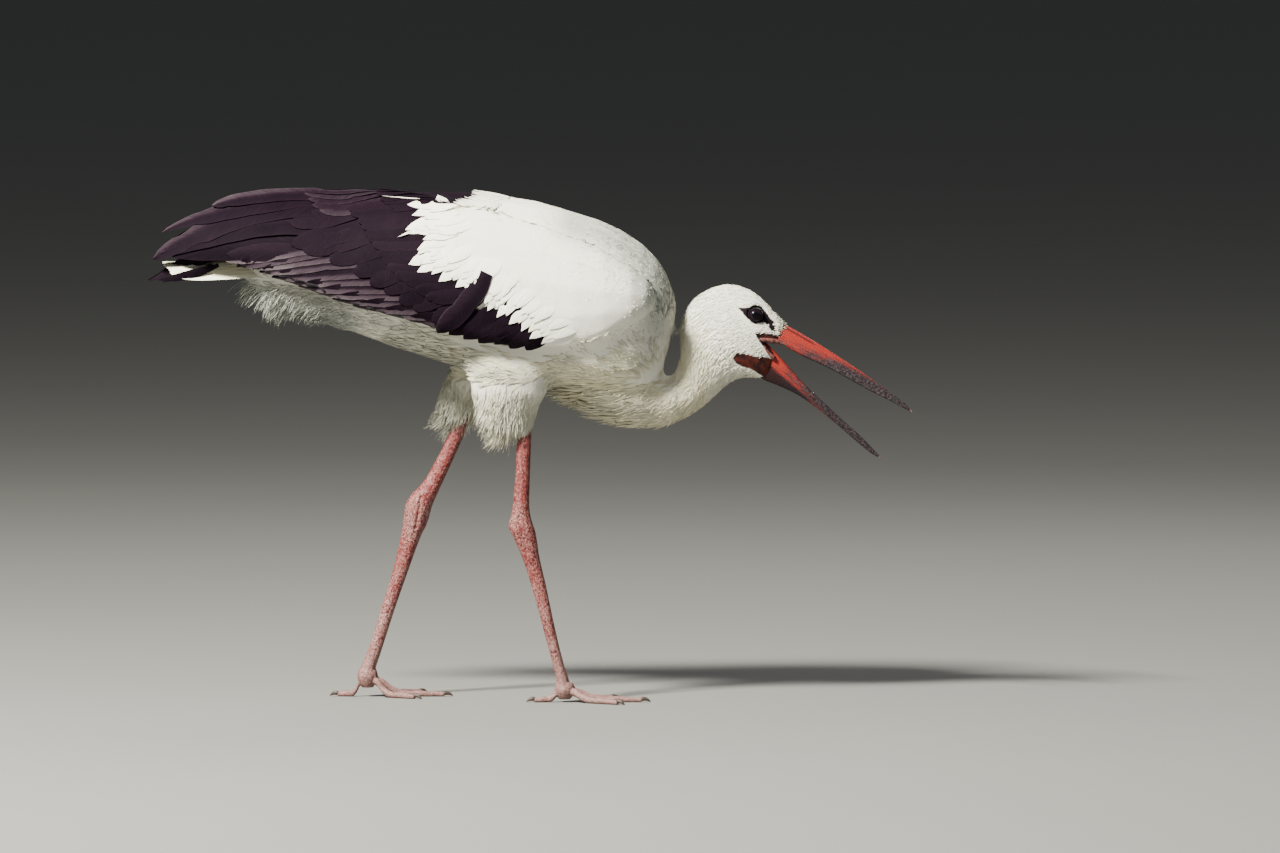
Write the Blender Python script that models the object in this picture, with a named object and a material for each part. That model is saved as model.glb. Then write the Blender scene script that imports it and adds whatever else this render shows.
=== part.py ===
"""A life-size white stork, walking with its neck folded back and its bill open.

The bird faces +X and stands on z = 0. Its right side is at -Y. All sizes below are millimetres.
Soft parts are lofts through sections: each section is an oval set up between an upper point and a
lower point of the side view, with a half-width across the bird. The wings are lofts of thin curved
lenses, and the whole wing is parted into its feather groups by flat cuts.
"""

import math
from collections import namedtuple

import bmesh
import bpy
import numpy as np
from mathutils import Matrix, Vector

MM = 0.001
GAP = 0.3                 # clearance between neighbouring pieces

# Driving sizes of the bird
HIP_Y = 42                # half the distance between the thighs
ANKLE_Y = 39
FOOT_Y = 36
EYE_RADIUS = 9.3
EYE_CENTRE = (242, 13.6, 416)
GAPE_CORNER = (241, 395)  # where the mouth ends, in the side view
GAPE_PALATE_SLOPE = 21    # degrees below the horizontal
GAPE_JAW_SLOPE = 40
TAIL_TIP_X = -405

# An oval section: its upper and lower points in the side view, its half-width, and its place across the bird
Section = namedtuple("Section", "upper lower half_width y", defaults=(0,))

# A slice of the folded wing at one x: its upper and lower edges as (distance from the midline, height),
# how far its middle bulges outwards from the line between them, and its greatest thickness
Slice = namedtuple("Slice", "x top bottom bulge thickness")

TRUNK = (
    Section((-318, 490), (-316, 456), 13),
    Section((-290, 500), (-290, 427), 28),
    Section((-249, 513), (-251, 411), 40),
    Section((-195, 528), (-195, 395), 52),
    Section((-108, 548), (-108, 369), 72),
    Section((-22, 545), (-33, 346), 84),
    Section((43, 529), (28, 333), 86),
    Section((91, 512), (75, 325), 79),
    Section((127, 488), (110, 324), 66),
    Section((147, 460), (129, 335), 51),
    Section((155, 430), (141, 352), 34),
    Section((155.6, 407), (148, 368), 18),
    Section((154, 394), (151.5, 380), 6),
)

# From the face back over the crown, down the folded neck, and into the breast
FACE_TO_BREAST = (
    Section((273, 408), (256, 346), 11.5),
    Section((261, 422), (246, 347), 17.5),
    Section((241, 440.5), (235, 348), 22),
    Section((216, 449), (226, 347), 24),
    Section((190, 443), (218, 344), 24.5),
    Section((170, 427), (210.5, 339), 25),
    Section((160.5, 405), (202.5, 331.5), 25),
    Section((157.8, 379), (191, 320), 25),
    Section((156, 361), (176.5, 309), 25),
    Section((149.5, 351), (157, 300), 27),
    Section((141, 357), (134, 294.5), 31),
    Section((126, 373), (108, 295.5), 39),
    Section((100, 390), (79, 305), 46),
    Section((68, 402), (55, 320), 47),
)
HEAD_SPAN = (0.0, 0.36)           # shares of the way from the face to the breast
UPPER_NECK_SPAN = (0.36, 0.66)
LOWER_NECK_SPAN = (0.66, 1.0)

UPPER_BILL = (
    Section((268, 410), (257, 391), 11.2),
    Section((280, 404.5), (268.5, 385), 10.2),
    Section((304, 391.5), (293, 373.5), 8.6),
    Section((325.5, 377.5), (317, 363.5), 7.0),
    Section((347, 363.5), (340, 351.5), 5.6),
    Section((369, 346.5), (364, 338), 4.3),
    Section((390, 332), (387, 325.5), 3.0),
    Section((403, 322), (401, 317), 2.0),
    Section((410.5, 313.5), (409.5, 311.5), 0.8),
)

LOWER_BILL = (
    Section((253, 387), (240, 347), 11),
    Section((264, 377), (252, 344.5), 11),
    Section((277.5, 360.5), (267, 339), 9.8),
    Section((295.5, 340.5), (288, 330), 7.8),
    Section((315, 321.5), (309.5, 315), 6.2),
    Section((335, 303), (331, 297.5), 4.8),
    Section((356, 284.5), (351.5, 279.5), 3.4),
    Section((370, 270), (367.5, 266.5), 2.2),
    Section((377.5, 262.5), (376.5, 261), 0.8),
)

WING = (
    Slice(136, (58, 445), (57, 428), 1, 5),
    Slice(131, (61, 453), (63, 420), 5, 11),
    Slice(116, (66, 468), (72, 408), 9, 16),
    Slice(76, (65, 493), (85, 392), 12, 17),
    Slice(32, (61, 510), (88, 382), 15, 18),
    Slice(-33, (53, 531), (86, 385), 17, 18),
    Slice(-92, (44, 543), (80, 399), 18, 18),
    Slice(-141, (24, 550), (73, 411), 18, 17),
    Slice(-195, (2.5, 550), (64, 427), 17, 14),
    Slice(-249, (1.8, 550), (56, 446), 14, 11),
    Slice(-303, (1.8, 546), (46, 464), 10, 8),
    Slice(-350, (2.2, 534), (36, 471), 7, 6),
    Slice(-385, (3.5, 513), (26, 467), 4, 4.5),
    Slice(-402, (6, 494), (19, 462), 2, 3.2),
    Slice(-410.5, (10, 472), (15, 457), 0.5, 1.6),
)
# Flat cuts through the folded wing, as a point of the side view and a slope in degrees
COVERT_CUT = ((-62, 460), -47)
PRIMARY_CUT = ((-334, 505), -74)

RIGHT_THIGH = (
    Section((34, 373), (-65, 389), 30, -HIP_Y),
    Section((23, 340), (-70, 354), 28, -HIP_Y),
    Section((13.5, 324), (-63, 328), 24, -HIP_Y + 1),
    Section((8, 306), (-55, 305), 18, -HIP_Y + 2),
    Section((3, 291), (-37, 288), 12, -ANKLE_Y),
    Section((1.5, 284), (-17, 283.5), 8.5, -ANKLE_Y),
)
LEFT_THIGH = (
    Section((5, 378), (-87, 383), 30, HIP_Y),
    Section((-11, 351), (-85, 359), 28, HIP_Y),
    Section((-33, 329), (-97, 337), 23, HIP_Y - 1),
    Section((-52, 311), (-102, 317), 17, HIP_Y - 2),
    Section((-65, 297), (-93, 301), 11, ANKLE_Y),
    Section((-70, 290.5), (-88, 293), 8.5, ANKLE_Y),
)
RIGHT_SHANK = (
    Section((1.2, 283.5), (-14.5, 283), 6.8, -ANKLE_Y),
    Section((0, 248), (-15.8, 248), 6.6, -ANKLE_Y),
    Section((-1, 216), (-18.4, 216), 7.2, -ANKLE_Y),
    Section((0.3, 201), (-20.4, 202), 8.8, -ANKLE_Y),
    Section((3.3, 191), (-23.2, 193), 10.4, -ANKLE_Y),
    Section((5.4, 185), (-23.4, 188), 10.6, -ANKLE_Y),
)
RIGHT_TARSUS = (
    Section((5.5, 184.6), (-23.4, 187.6), 10.6, -ANKLE_Y),
    Section((8, 171), (-17, 175), 9.6, -ANKLE_Y),
    Section((10, 156), (-9.8, 159), 7.6, -ANKLE_Y),
    Section((17.5, 124), (1, 126), 6.3, -ANKLE_Y + 1),
    Section((25.5, 85), (11.7, 87), 5.9, -ANKLE_Y + 1),
    Section((35, 45), (22, 48), 6.2, -FOOT_Y),
    Section((41, 26), (27, 29), 8, -FOOT_Y),
    Section((43.5, 18), (28, 20), 9, -FOOT_Y),
)
LEFT_SHANK = (
    Section((-69.6, 289.8), (-86, 292.4), 6.8, ANKLE_Y),
    Section((-79, 268), (-95, 271), 6.6, ANKLE_Y),
    Section((-96.5, 230), (-116, 233), 7.2, ANKLE_Y),
    Section((-101.5, 219), (-125.5, 224), 8.8, ANKLE_Y),
    Section((-106, 209), (-133, 214), 10.4, ANKLE_Y),
    Section((-108.4, 201), (-136.4, 206), 10.6, ANKLE_Y),
)
LEFT_TARSUS = (
    Section((-108.6, 200.6), (-136.5, 205.6), 10.6, ANKLE_Y),
    Section((-112.5, 187), (-138, 192), 9.8, ANKLE_Y),
    Section((-120, 172), (-140.5, 176), 8, ANKLE_Y),
    Section((-134, 133), (-149.5, 137), 6.3, ANKLE_Y - 1),
    Section((-147, 96), (-161, 100), 5.9, ANKLE_Y - 1),
    Section((-160.5, 54), (-174, 58), 6.2, FOOT_Y),
    Section((-166.5, 36), (-181.5, 39), 8, FOOT_Y),
    Section((-169, 28), (-185, 30.5), 9, FOOT_Y),
)

# Each foot: where its toe joint is, how high that is, and its side
Foot = namedtuple("Foot", "name x z y")
FEET = (
    Foot("right", 38, 13, -FOOT_Y),
    Foot("left", -176, 20, FOOT_Y),
)
# Each toe: its heading in degrees away from straight ahead (outwards is positive), its length and its claw's
Toe = namedtuple("Toe", "name heading length claw")
TOES = (
    Toe("middle", 2, 82, 10),
    Toe("outer", 34, 68, 9),
    Toe("inner", -32, 60, 9),
    Toe("hind", 172, 34, 9),
)
TOE_WIDTH = 9.6
TOE_HEIGHT = 9.5
BALL_RADIUS = 11.5
TARSUS_SHAPE = {"rings": 13, "sides": 12}

# Base colour, roughness and metallic value of each finish
FINISHES = {
    "white_plumage": ((0.84, 0.83, 0.78), 0.8, 0.0),
    "black_plumage": ((0.035, 0.028, 0.038), 0.5, 0.0),
    "red_bill": ((0.62, 0.12, 0.06), 0.4, 0.0),
    "leg_skin": ((0.56, 0.20, 0.16), 0.6, 0.0),
    "eye_gloss": ((0.015, 0.012, 0.02), 0.08, 0.0),
    "claw_horn": ((0.06, 0.045, 0.04), 0.45, 0.0),
}


def clear_scene():
    """Starts from an empty scene."""
    for old in list(bpy.data.objects):
        bpy.data.objects.remove(old)


def finish(name):
    """The named finish as a Principled material, made once."""
    made = bpy.data.materials.get(name)
    if made:
        return made
    colour, roughness, metallic = FINISHES[name]
    made = bpy.data.materials.new(name)
    made.use_nodes = True
    shader = made.node_tree.nodes["Principled BSDF"]
    shader.inputs["Base Color"].default_value = (*colour, 1)
    shader.inputs["Roughness"].default_value = roughness
    shader.inputs["Metallic"].default_value = metallic
    return made


def trim(shell, point, slope, keep_front):
    """Cuts a closed shell flat along a plane across the bird, half the gap inside what is kept."""
    turn = math.radians(slope)
    away = Vector((-math.sin(turn), 0, math.cos(turn))) * (1 if keep_front else -1)
    start = Vector((point[0], 0, point[1])) + away * GAP / 2
    everything = [*shell.verts, *shell.edges, *shell.faces]
    bmesh.ops.bisect_plane(shell, geom=everything, plane_co=start * MM, plane_no=away, clear_inner=True)
    bmesh.ops.holes_fill(shell, edges=[edge for edge in shell.edges if edge.is_boundary])


def add_object(name, points, faces, finish_name, parent, trims=()):
    """A closed mesh with its origin at its middle; a piece with no finish is a cutter."""
    points = np.asarray(points, float) * MM
    middle = (points.min(axis=0) + points.max(axis=0)) / 2
    mesh = bpy.data.meshes.new(name)
    mesh.from_pydata(points.tolist(), [], faces)
    shell = bmesh.new()
    shell.from_mesh(mesh)
    for plane in trims:
        trim(shell, *plane)
    bmesh.ops.translate(shell, vec=-Vector(middle), verts=shell.verts)
    bmesh.ops.recalc_face_normals(shell, faces=shell.faces)
    if shell.calc_volume(signed=True) < 0:
        bmesh.ops.reverse_faces(shell, faces=shell.faces)
    shell.to_mesh(mesh)
    shell.free()
    mesh.shade_smooth()
    mesh.set_sharp_from_angle(angle=math.radians(50))
    piece = bpy.data.objects.new(name, mesh)
    piece.location = middle
    piece.parent = parent
    bpy.context.scene.collection.objects.link(piece)
    if finish_name:
        mesh.materials.append(finish(finish_name))
    else:
        piece.hide_render = True
        piece.display_type = "WIRE"
    return piece


def cut(piece, *cutters):
    """Takes the cutters' shapes out of the piece."""
    for cutter in cutters:
        modifier = piece.modifiers.new("cut by " + cutter.name, "BOOLEAN")
        modifier.operation = "DIFFERENCE"
        modifier.solver = "EXACT"
        modifier.object = cutter


def curve_through(rows, at):
    """A Catmull-Rom curve through the rows, read at the given shares of its length in rows."""
    rows = np.asarray(rows, float)
    padded = np.vstack([2 * rows[0] - rows[1], rows, 2 * rows[-1] - rows[-2]])
    place = np.clip(np.asarray(at, float), 0, 1) * (len(rows) - 1)
    first = np.minimum(place.astype(int), len(rows) - 2)
    u = (place - first)[:, None]
    a, b, c, d = (padded[first + k] for k in range(4))
    return 0.5 * (2 * b + (c - a) * u + (2 * a - 5 * b + 4 * c - d) * u**2 + (3 * b - a - 3 * c + d) * u**3)


def tube_faces(rings, sides):
    """Quads between neighbouring rings of points, and a cap on each end."""
    faces = []
    for ring in range(rings - 1):
        for side in range(sides):
            following = (side + 1) % sides
            near, far = ring * sides, (ring + 1) * sides
            faces.append((near + side, near + following, far + following, far + side))
    faces.append(tuple(range(sides)))
    faces.append(tuple((rings - 1) * sides + side for side in reversed(range(sides))))
    return faces


def oval_rings(sections, span, rings, sides, squareness, keel, grow):
    """Rings of points for a loft: superellipses whose widest level rises with keel, all grown outwards."""
    table = [(*s.upper, *s.lower, s.half_width, s.y) for s in sections]
    rows = curve_through(table, np.linspace(*span, rings))
    turn = np.arange(sides) * 2 * math.pi / sides
    across = np.sign(np.cos(turn)) * np.abs(np.cos(turn)) ** (2 / squareness)
    along = np.sign(np.sin(turn)) * np.abs(np.sin(turn)) ** (2 / squareness)
    points = []
    for upper_x, upper_z, lower_x, lower_z, half_width, y in rows:
        middle = np.array([(upper_x + lower_x) / 2, (upper_z + lower_z) / 2])
        reach = np.array([upper_x, upper_z]) - middle
        reach *= 1 + grow / np.linalg.norm(reach)
        for sideways, upwards in zip(across, along):
            x, z = middle + reach * upwards
            width = (half_width + grow) * sideways * (1 + keel * upwards)
            points.append((x, y + width, z))
    return np.array(points)


def loft(name, sections, finish_name, parent, span=(0, 1), rings=12, sides=16, squareness=2, keel=0, grow=0):
    """A closed tube through the sections. Grown by a clearance and with no finish, it is a cutter."""
    points = oval_rings(sections, span, rings, sides, squareness, keel, grow)
    if grow:
        ends = points.reshape(rings, sides, 3)
        first = ends[0].mean(axis=0) - ends[1].mean(axis=0)
        last = ends[-1].mean(axis=0) - ends[-2].mean(axis=0)
        ends[0] += first / np.linalg.norm(first) * grow
        ends[-1] += last / np.linalg.norm(last) * grow
    return add_object(name, points, tube_faces(rings, sides), finish_name, parent)


def wing_points(side, rings, sides):
    """Rings of the folded wing: at each slice, a lens bent outwards about its chord."""
    table = [(s.x, *s.top, *s.bottom, s.bulge, s.thickness) for s in WING]
    turn = np.arange(sides) * 2 * math.pi / sides
    share = (1 - np.cos(turn)) / 2
    points = []
    for x, top_y, top_z, bottom_y, bottom_z, bulge, thickness in curve_through(table, np.linspace(0, 1, rings)):
        top, bottom = np.array([top_y, top_z]), np.array([bottom_y, bottom_z])
        chord = bottom - top
        outwards = np.array([-chord[1], chord[0]]) / np.linalg.norm(chord)
        for part, rise in zip(share, np.sin(turn)):
            push = bulge * 4 * part * (1 - part) + rise * thickness / 2
            y, z = top + chord * part + outwards * push
            points.append((x, side * y, z))
    return points


def make_trunk(parent):
    """The body without its wings, and its grown copy for cutting neighbours."""
    shape = {"rings": 21, "sides": 20, "squareness": 2.1, "keel": -0.1}
    loft("trunk", TRUNK, "white_plumage", parent, **shape)
    return loft("trunk_clearance", TRUNK, None, parent, grow=GAP, **shape)


def make_head_and_neck(parent, trunk_clearance):
    """One loft from face to breast, parted across the nape and the bend of the neck."""
    eyes = []
    shape = {"sides": 20, "squareness": 2.1}
    step = 0.0022  # half the clearance, as a share of the way along the loft
    head = loft("head", FACE_TO_BREAST, "white_plumage", parent,
                span=(HEAD_SPAN[0], HEAD_SPAN[1] - step), rings=13, **shape)
    face_clearance = loft("face_clearance", FACE_TO_BREAST, None, parent,
                          span=HEAD_SPAN, rings=13, grow=GAP, **shape)
    loft("neck_upper", FACE_TO_BREAST, "white_plumage", parent,
         span=(UPPER_NECK_SPAN[0] + step, UPPER_NECK_SPAN[1] - step), rings=10, **shape)
    lower = loft("neck_lower", FACE_TO_BREAST, "white_plumage", parent,
                 span=(LOWER_NECK_SPAN[0] + step, LOWER_NECK_SPAN[1]), rings=11, **shape)
    cut(lower, trunk_clearance)
    for side, name in ((-1, "right"), (1, "left")):
        eyes.append(make_eye(name, side, EYE_RADIUS + GAP, None, parent))
        make_eye(name, side, EYE_RADIUS, "eye_gloss", parent)
    cut(head, make_gape(parent), *eyes)
    return face_clearance


def make_eye(name, side, radius, finish_name, parent):
    """An eyeball, or its slightly larger socket where there is no finish."""
    ball = bmesh.new()
    bmesh.ops.create_uvsphere(ball, u_segments=14, v_segments=9, radius=radius)
    points = [Matrix.Rotation(math.pi / 2, 3, "X") @ corner.co for corner in ball.verts]
    x, y, z = EYE_CENTRE
    points = [point + Vector((x, side * y, z)) for point in points]
    faces = [[corner.index for corner in face.verts] for face in ball.faces]
    ball.free()
    return add_object(("eye_" if finish_name else "socket_") + name, points, faces, finish_name, parent)


def make_gape(parent):
    """The wedge of air between palate and lower jaw."""
    reach, half_width = 60, 40
    edges = []
    for slope in (GAPE_PALATE_SLOPE, GAPE_JAW_SLOPE):
        turn = math.radians(slope)
        edges.append((GAPE_CORNER[0] + reach * math.cos(turn), GAPE_CORNER[1] - reach * math.sin(turn)))
    outline = (GAPE_CORNER, *edges)
    points = [(x, y, z) for y in (-half_width, half_width) for x, z in outline]
    faces = ((0, 1, 2), (5, 4, 3), (0, 3, 4, 1), (1, 4, 5, 2), (2, 5, 3, 0))
    return add_object("gape", points, faces, None, parent)


def make_bill(parent, face_clearance):
    """Both mandibles, cut clear of the face they grow from."""
    for name, sections, keel in (("bill_upper", UPPER_BILL, -0.35), ("bill_lower", LOWER_BILL, 0.3)):
        mandible = loft(name, sections, "red_bill", parent, rings=13, sides=14, squareness=2.2, keel=keel)
        cut(mandible, face_clearance)


def make_wings(parent, trunk_clearance):
    """Both folded wings, each parted into white coverts, black coverts with secondaries, and primaries."""
    rings, sides = 20, 12
    groups = (
        ("coverts", "white_plumage", [(*COVERT_CUT, True)]),
        ("secondaries", "black_plumage", [(*COVERT_CUT, False), (*PRIMARY_CUT, True)]),
        ("primaries", "black_plumage", [(*PRIMARY_CUT, False)]),
    )
    for side, name in ((-1, "right"), (1, "left")):
        points = wing_points(side, rings, sides)
        for group, finish_name, trims in groups:
            piece = add_object(f"wing_{name}_{group}", points, tube_faces(rings, sides), finish_name, parent, trims)
            cut(piece, trunk_clearance)


def make_tail(parent, trunk_clearance):
    """The closed tail, a thin fan under the wing tips."""
    start_x = -270
    rings = []
    for share in np.linspace(0, 1, 9):
        x = start_x + (TAIL_TIP_X - start_x) * share
        height = 466 - 9 * math.sin(share * math.pi / 2)
        half_width = 25 + 15 * math.sin(share * math.pi / 2) - 9 * share**8
        half_thickness = 3.2 - 1.6 * share
        rings.append(Section((x, height + half_thickness), (x, height - half_thickness), half_width))
    tail = loft("tail", rings, "white_plumage", parent, rings=9, sides=16, squareness=2.4)
    cut(tail, trunk_clearance)


def make_legs(parent, trunk_clearance):
    """Feathered thighs cut clear of the body, then bare shanks and tarsi."""
    for name, thigh, shank, tarsus in (
        ("right", RIGHT_THIGH, RIGHT_SHANK, RIGHT_TARSUS),
        ("left", LEFT_THIGH, LEFT_SHANK, LEFT_TARSUS),
    ):
        feathered = loft(f"thigh_{name}", thigh, "white_plumage", parent, rings=9, sides=16)
        cut(feathered, trunk_clearance)
        loft(f"shank_{name}", shank, "leg_skin", parent, rings=9, sides=12)
        loft(f"tarsus_{name}", tarsus, "leg_skin", parent, **TARSUS_SHAPE)


def toe_points(foot, toe, side, rings, sides, grow=0):
    """A toe as rings along its heading: it starts at the height of the ball and lies flat from a third of its
    length, with a swelling at each joint, and its underside is a flat at floor level."""
    heading = math.radians(toe.heading) * side
    forward = np.array([math.cos(heading), math.sin(heading)])
    across = np.array([-forward[1], forward[0]])
    start = BALL_RADIUS * 0.55
    turn = (np.arange(sides) + 0.5) * 2 * math.pi / sides
    points = []
    for share in np.linspace(0, 1, rings):
        place = start + (toe.length - start) * share
        slim = 1 - 0.36 * share
        swelling = 1 + 0.09 * math.cos(share * 3 * 2 * math.pi) * math.sin(share * math.pi)
        half_width = TOE_WIDTH / 2 * slim * swelling * (0.84 + 0.16 * min(1, share * 6)) + grow
        half_height = TOE_HEIGHT / 2 * slim * swelling + grow
        settled = min(1, share * 2.6)
        drop = (1 - math.cos(settled * math.pi)) / 2
        middle = (foot.z - 1) * (1 - drop) + (half_height - 0.8) * drop
        for angle in turn:
            x, y = np.array([foot.x, foot.y]) + forward * place + across * math.cos(angle) * half_width
            points.append((x, y, max(-grow, middle + math.sin(angle) * half_height)))
    return points


def claw_points(foot, toe, side, rings, sides):
    """A blunt claw past the toe's end, curving down to the floor."""
    heading = math.radians(toe.heading) * side
    forward = np.array([math.cos(heading), math.sin(heading)])
    across = np.array([-forward[1], forward[0]])
    turn = np.arange(sides) * 2 * math.pi / sides
    points = []
    for share in np.linspace(0, 1, rings):
        place = toe.length + GAP + toe.claw * share
        slim = math.sqrt(1 - 0.9 * share**2)
        middle = 3.4 - 1.4 * share**2
        for angle in turn:
            x, y = np.array([foot.x, foot.y]) + forward * place + across * math.cos(angle) * 2.7 * slim
            points.append((x, y, max(0.05, middle + math.sin(angle) * 2.3 * slim)))
    return points


def ball_sections(foot, tarsus):
    """The ball of a foot, round from above, from a little above the tarsus's end down to under the toes."""
    top = max(tarsus[-1].upper[1], tarsus[-1].lower[1]) + 1
    bottom = foot.z - min(foot.z, BALL_RADIUS) + 1.5
    sections = []
    for level in (0, 0.3, 0.6, 0.85, 1):
        height = top + (bottom - top) * level
        radius = BALL_RADIUS * math.sin(math.pi * (0.27 + 0.56 * level))
        sections.append(Section((foot.x + radius - 1, height), (foot.x - radius - 1, height), radius * 0.92, foot.y))
    return sections


def make_feet(parent):
    """Each foot: its ball cut clear of the tarsus, four toes cut clear of the ball, and their claws."""
    toe_rings, toe_sides, claw_rings, claw_sides = 9, 8, 4, 6
    for foot, tarsus in zip(FEET, (RIGHT_TARSUS, LEFT_TARSUS)):
        side = -1 if foot.y < 0 else 1
        sections = ball_sections(foot, tarsus)
        ball = loft(f"foot_{foot.name}", sections, "leg_skin", parent, rings=7, sides=14)
        cut(ball, loft(f"tarsus_clearance_{foot.name}", tarsus, None, parent, grow=GAP, **TARSUS_SHAPE))
        clearance = loft(f"ball_clearance_{foot.name}", sections, None, parent, rings=7, sides=14, grow=GAP)
        middle_clearance = add_object(f"middle_toe_clearance_{foot.name}",
                                      toe_points(foot, TOES[0], side, toe_rings, toe_sides, GAP),
                                      tube_faces(toe_rings, toe_sides), None, parent)
        for toe in TOES:
            piece = add_object(f"toe_{foot.name}_{toe.name}", toe_points(foot, toe, side, toe_rings, toe_sides),
                               tube_faces(toe_rings, toe_sides), "leg_skin", parent)
            cut(piece, clearance)
            if toe.name in ("outer", "inner"):
                cut(piece, middle_clearance)
            add_object(f"claw_{foot.name}_{toe.name}", claw_points(foot, toe, side, claw_rings, claw_sides),
                       tube_faces(claw_rings, claw_sides), "claw_horn", parent)


def main():
    clear_scene()
    stork = bpy.data.objects.new("stork", None)
    bpy.context.scene.collection.objects.link(stork)
    trunk_clearance = make_trunk(stork)
    face_clearance = make_head_and_neck(stork, trunk_clearance)
    make_bill(stork, face_clearance)
    make_wings(stork, trunk_clearance)
    make_tail(stork, trunk_clearance)
    make_legs(stork, trunk_clearance)
    make_feet(stork)


main()
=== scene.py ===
"""The looks of a life-size white stork: its skin, coat of feathers, wings, tail, bill, eyes, legs and claws.

Sizes and places are millimetres in the bird's own frame, turned into metres where a mesh is made: +X is
the way the bird faces, +Y its left, +Z up. Feathers are closed vanes, built many at a time as arrays.
"""

import logging
import math
from dataclasses import dataclass
from enum import Enum
from typing import Callable, Sequence

import bmesh
import bpy
import numpy as np
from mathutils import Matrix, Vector
from mathutils.bvhtree import BVHTree
from mathutils.kdtree import KDTree


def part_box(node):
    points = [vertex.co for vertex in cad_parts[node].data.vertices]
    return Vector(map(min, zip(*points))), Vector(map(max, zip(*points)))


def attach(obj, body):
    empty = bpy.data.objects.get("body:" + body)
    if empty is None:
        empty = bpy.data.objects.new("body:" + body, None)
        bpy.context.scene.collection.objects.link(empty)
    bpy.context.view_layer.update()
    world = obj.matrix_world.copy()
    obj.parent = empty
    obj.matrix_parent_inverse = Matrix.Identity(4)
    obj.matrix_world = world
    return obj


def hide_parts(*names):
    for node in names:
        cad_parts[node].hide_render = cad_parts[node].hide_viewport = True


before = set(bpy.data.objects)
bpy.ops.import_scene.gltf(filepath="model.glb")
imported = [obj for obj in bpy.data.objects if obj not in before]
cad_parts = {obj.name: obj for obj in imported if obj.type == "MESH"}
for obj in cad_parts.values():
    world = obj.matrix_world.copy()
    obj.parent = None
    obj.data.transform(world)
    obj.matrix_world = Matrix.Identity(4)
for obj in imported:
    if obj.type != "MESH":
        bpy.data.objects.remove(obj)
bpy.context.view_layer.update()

MM = 0.001
# painted shade: white feathers and the skin under them turn towards this grey where shade falls on the bird
SHADE_PAINT_GREY = (0.25, 0.27, 0.25)  # where white feathers are greyest
UV_PATCH = 0.003          # the side of one small feather's patch on the coat's map
Array = np.ndarray
Piece = bpy.types.Object
Socket = bpy.types.NodeSocket
Measure = Callable[[Array], Array]  # what tells a number, or a yes or no, for each of many points
log = logging.getLogger("stork")


class Side(Enum):
    """A side of the bird, by the sign of its Y."""

    RIGHT = -1
    LEFT = 1

    @property
    def word(self) -> str:
        """The side's name, as the nodes have it."""
        return self.name.lower()


class Outline(Enum):
    """The outline of a feather's vane, from its root to its tip."""

    ROUND = "round"
    LANCE = "lance"
    POINTED = "pointed"
    STRAND = "strand"
    QUILL = "quill"


ROUND, LANCE, POINTED, STRAND, QUILL = Outline


# ---- Finishes


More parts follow.
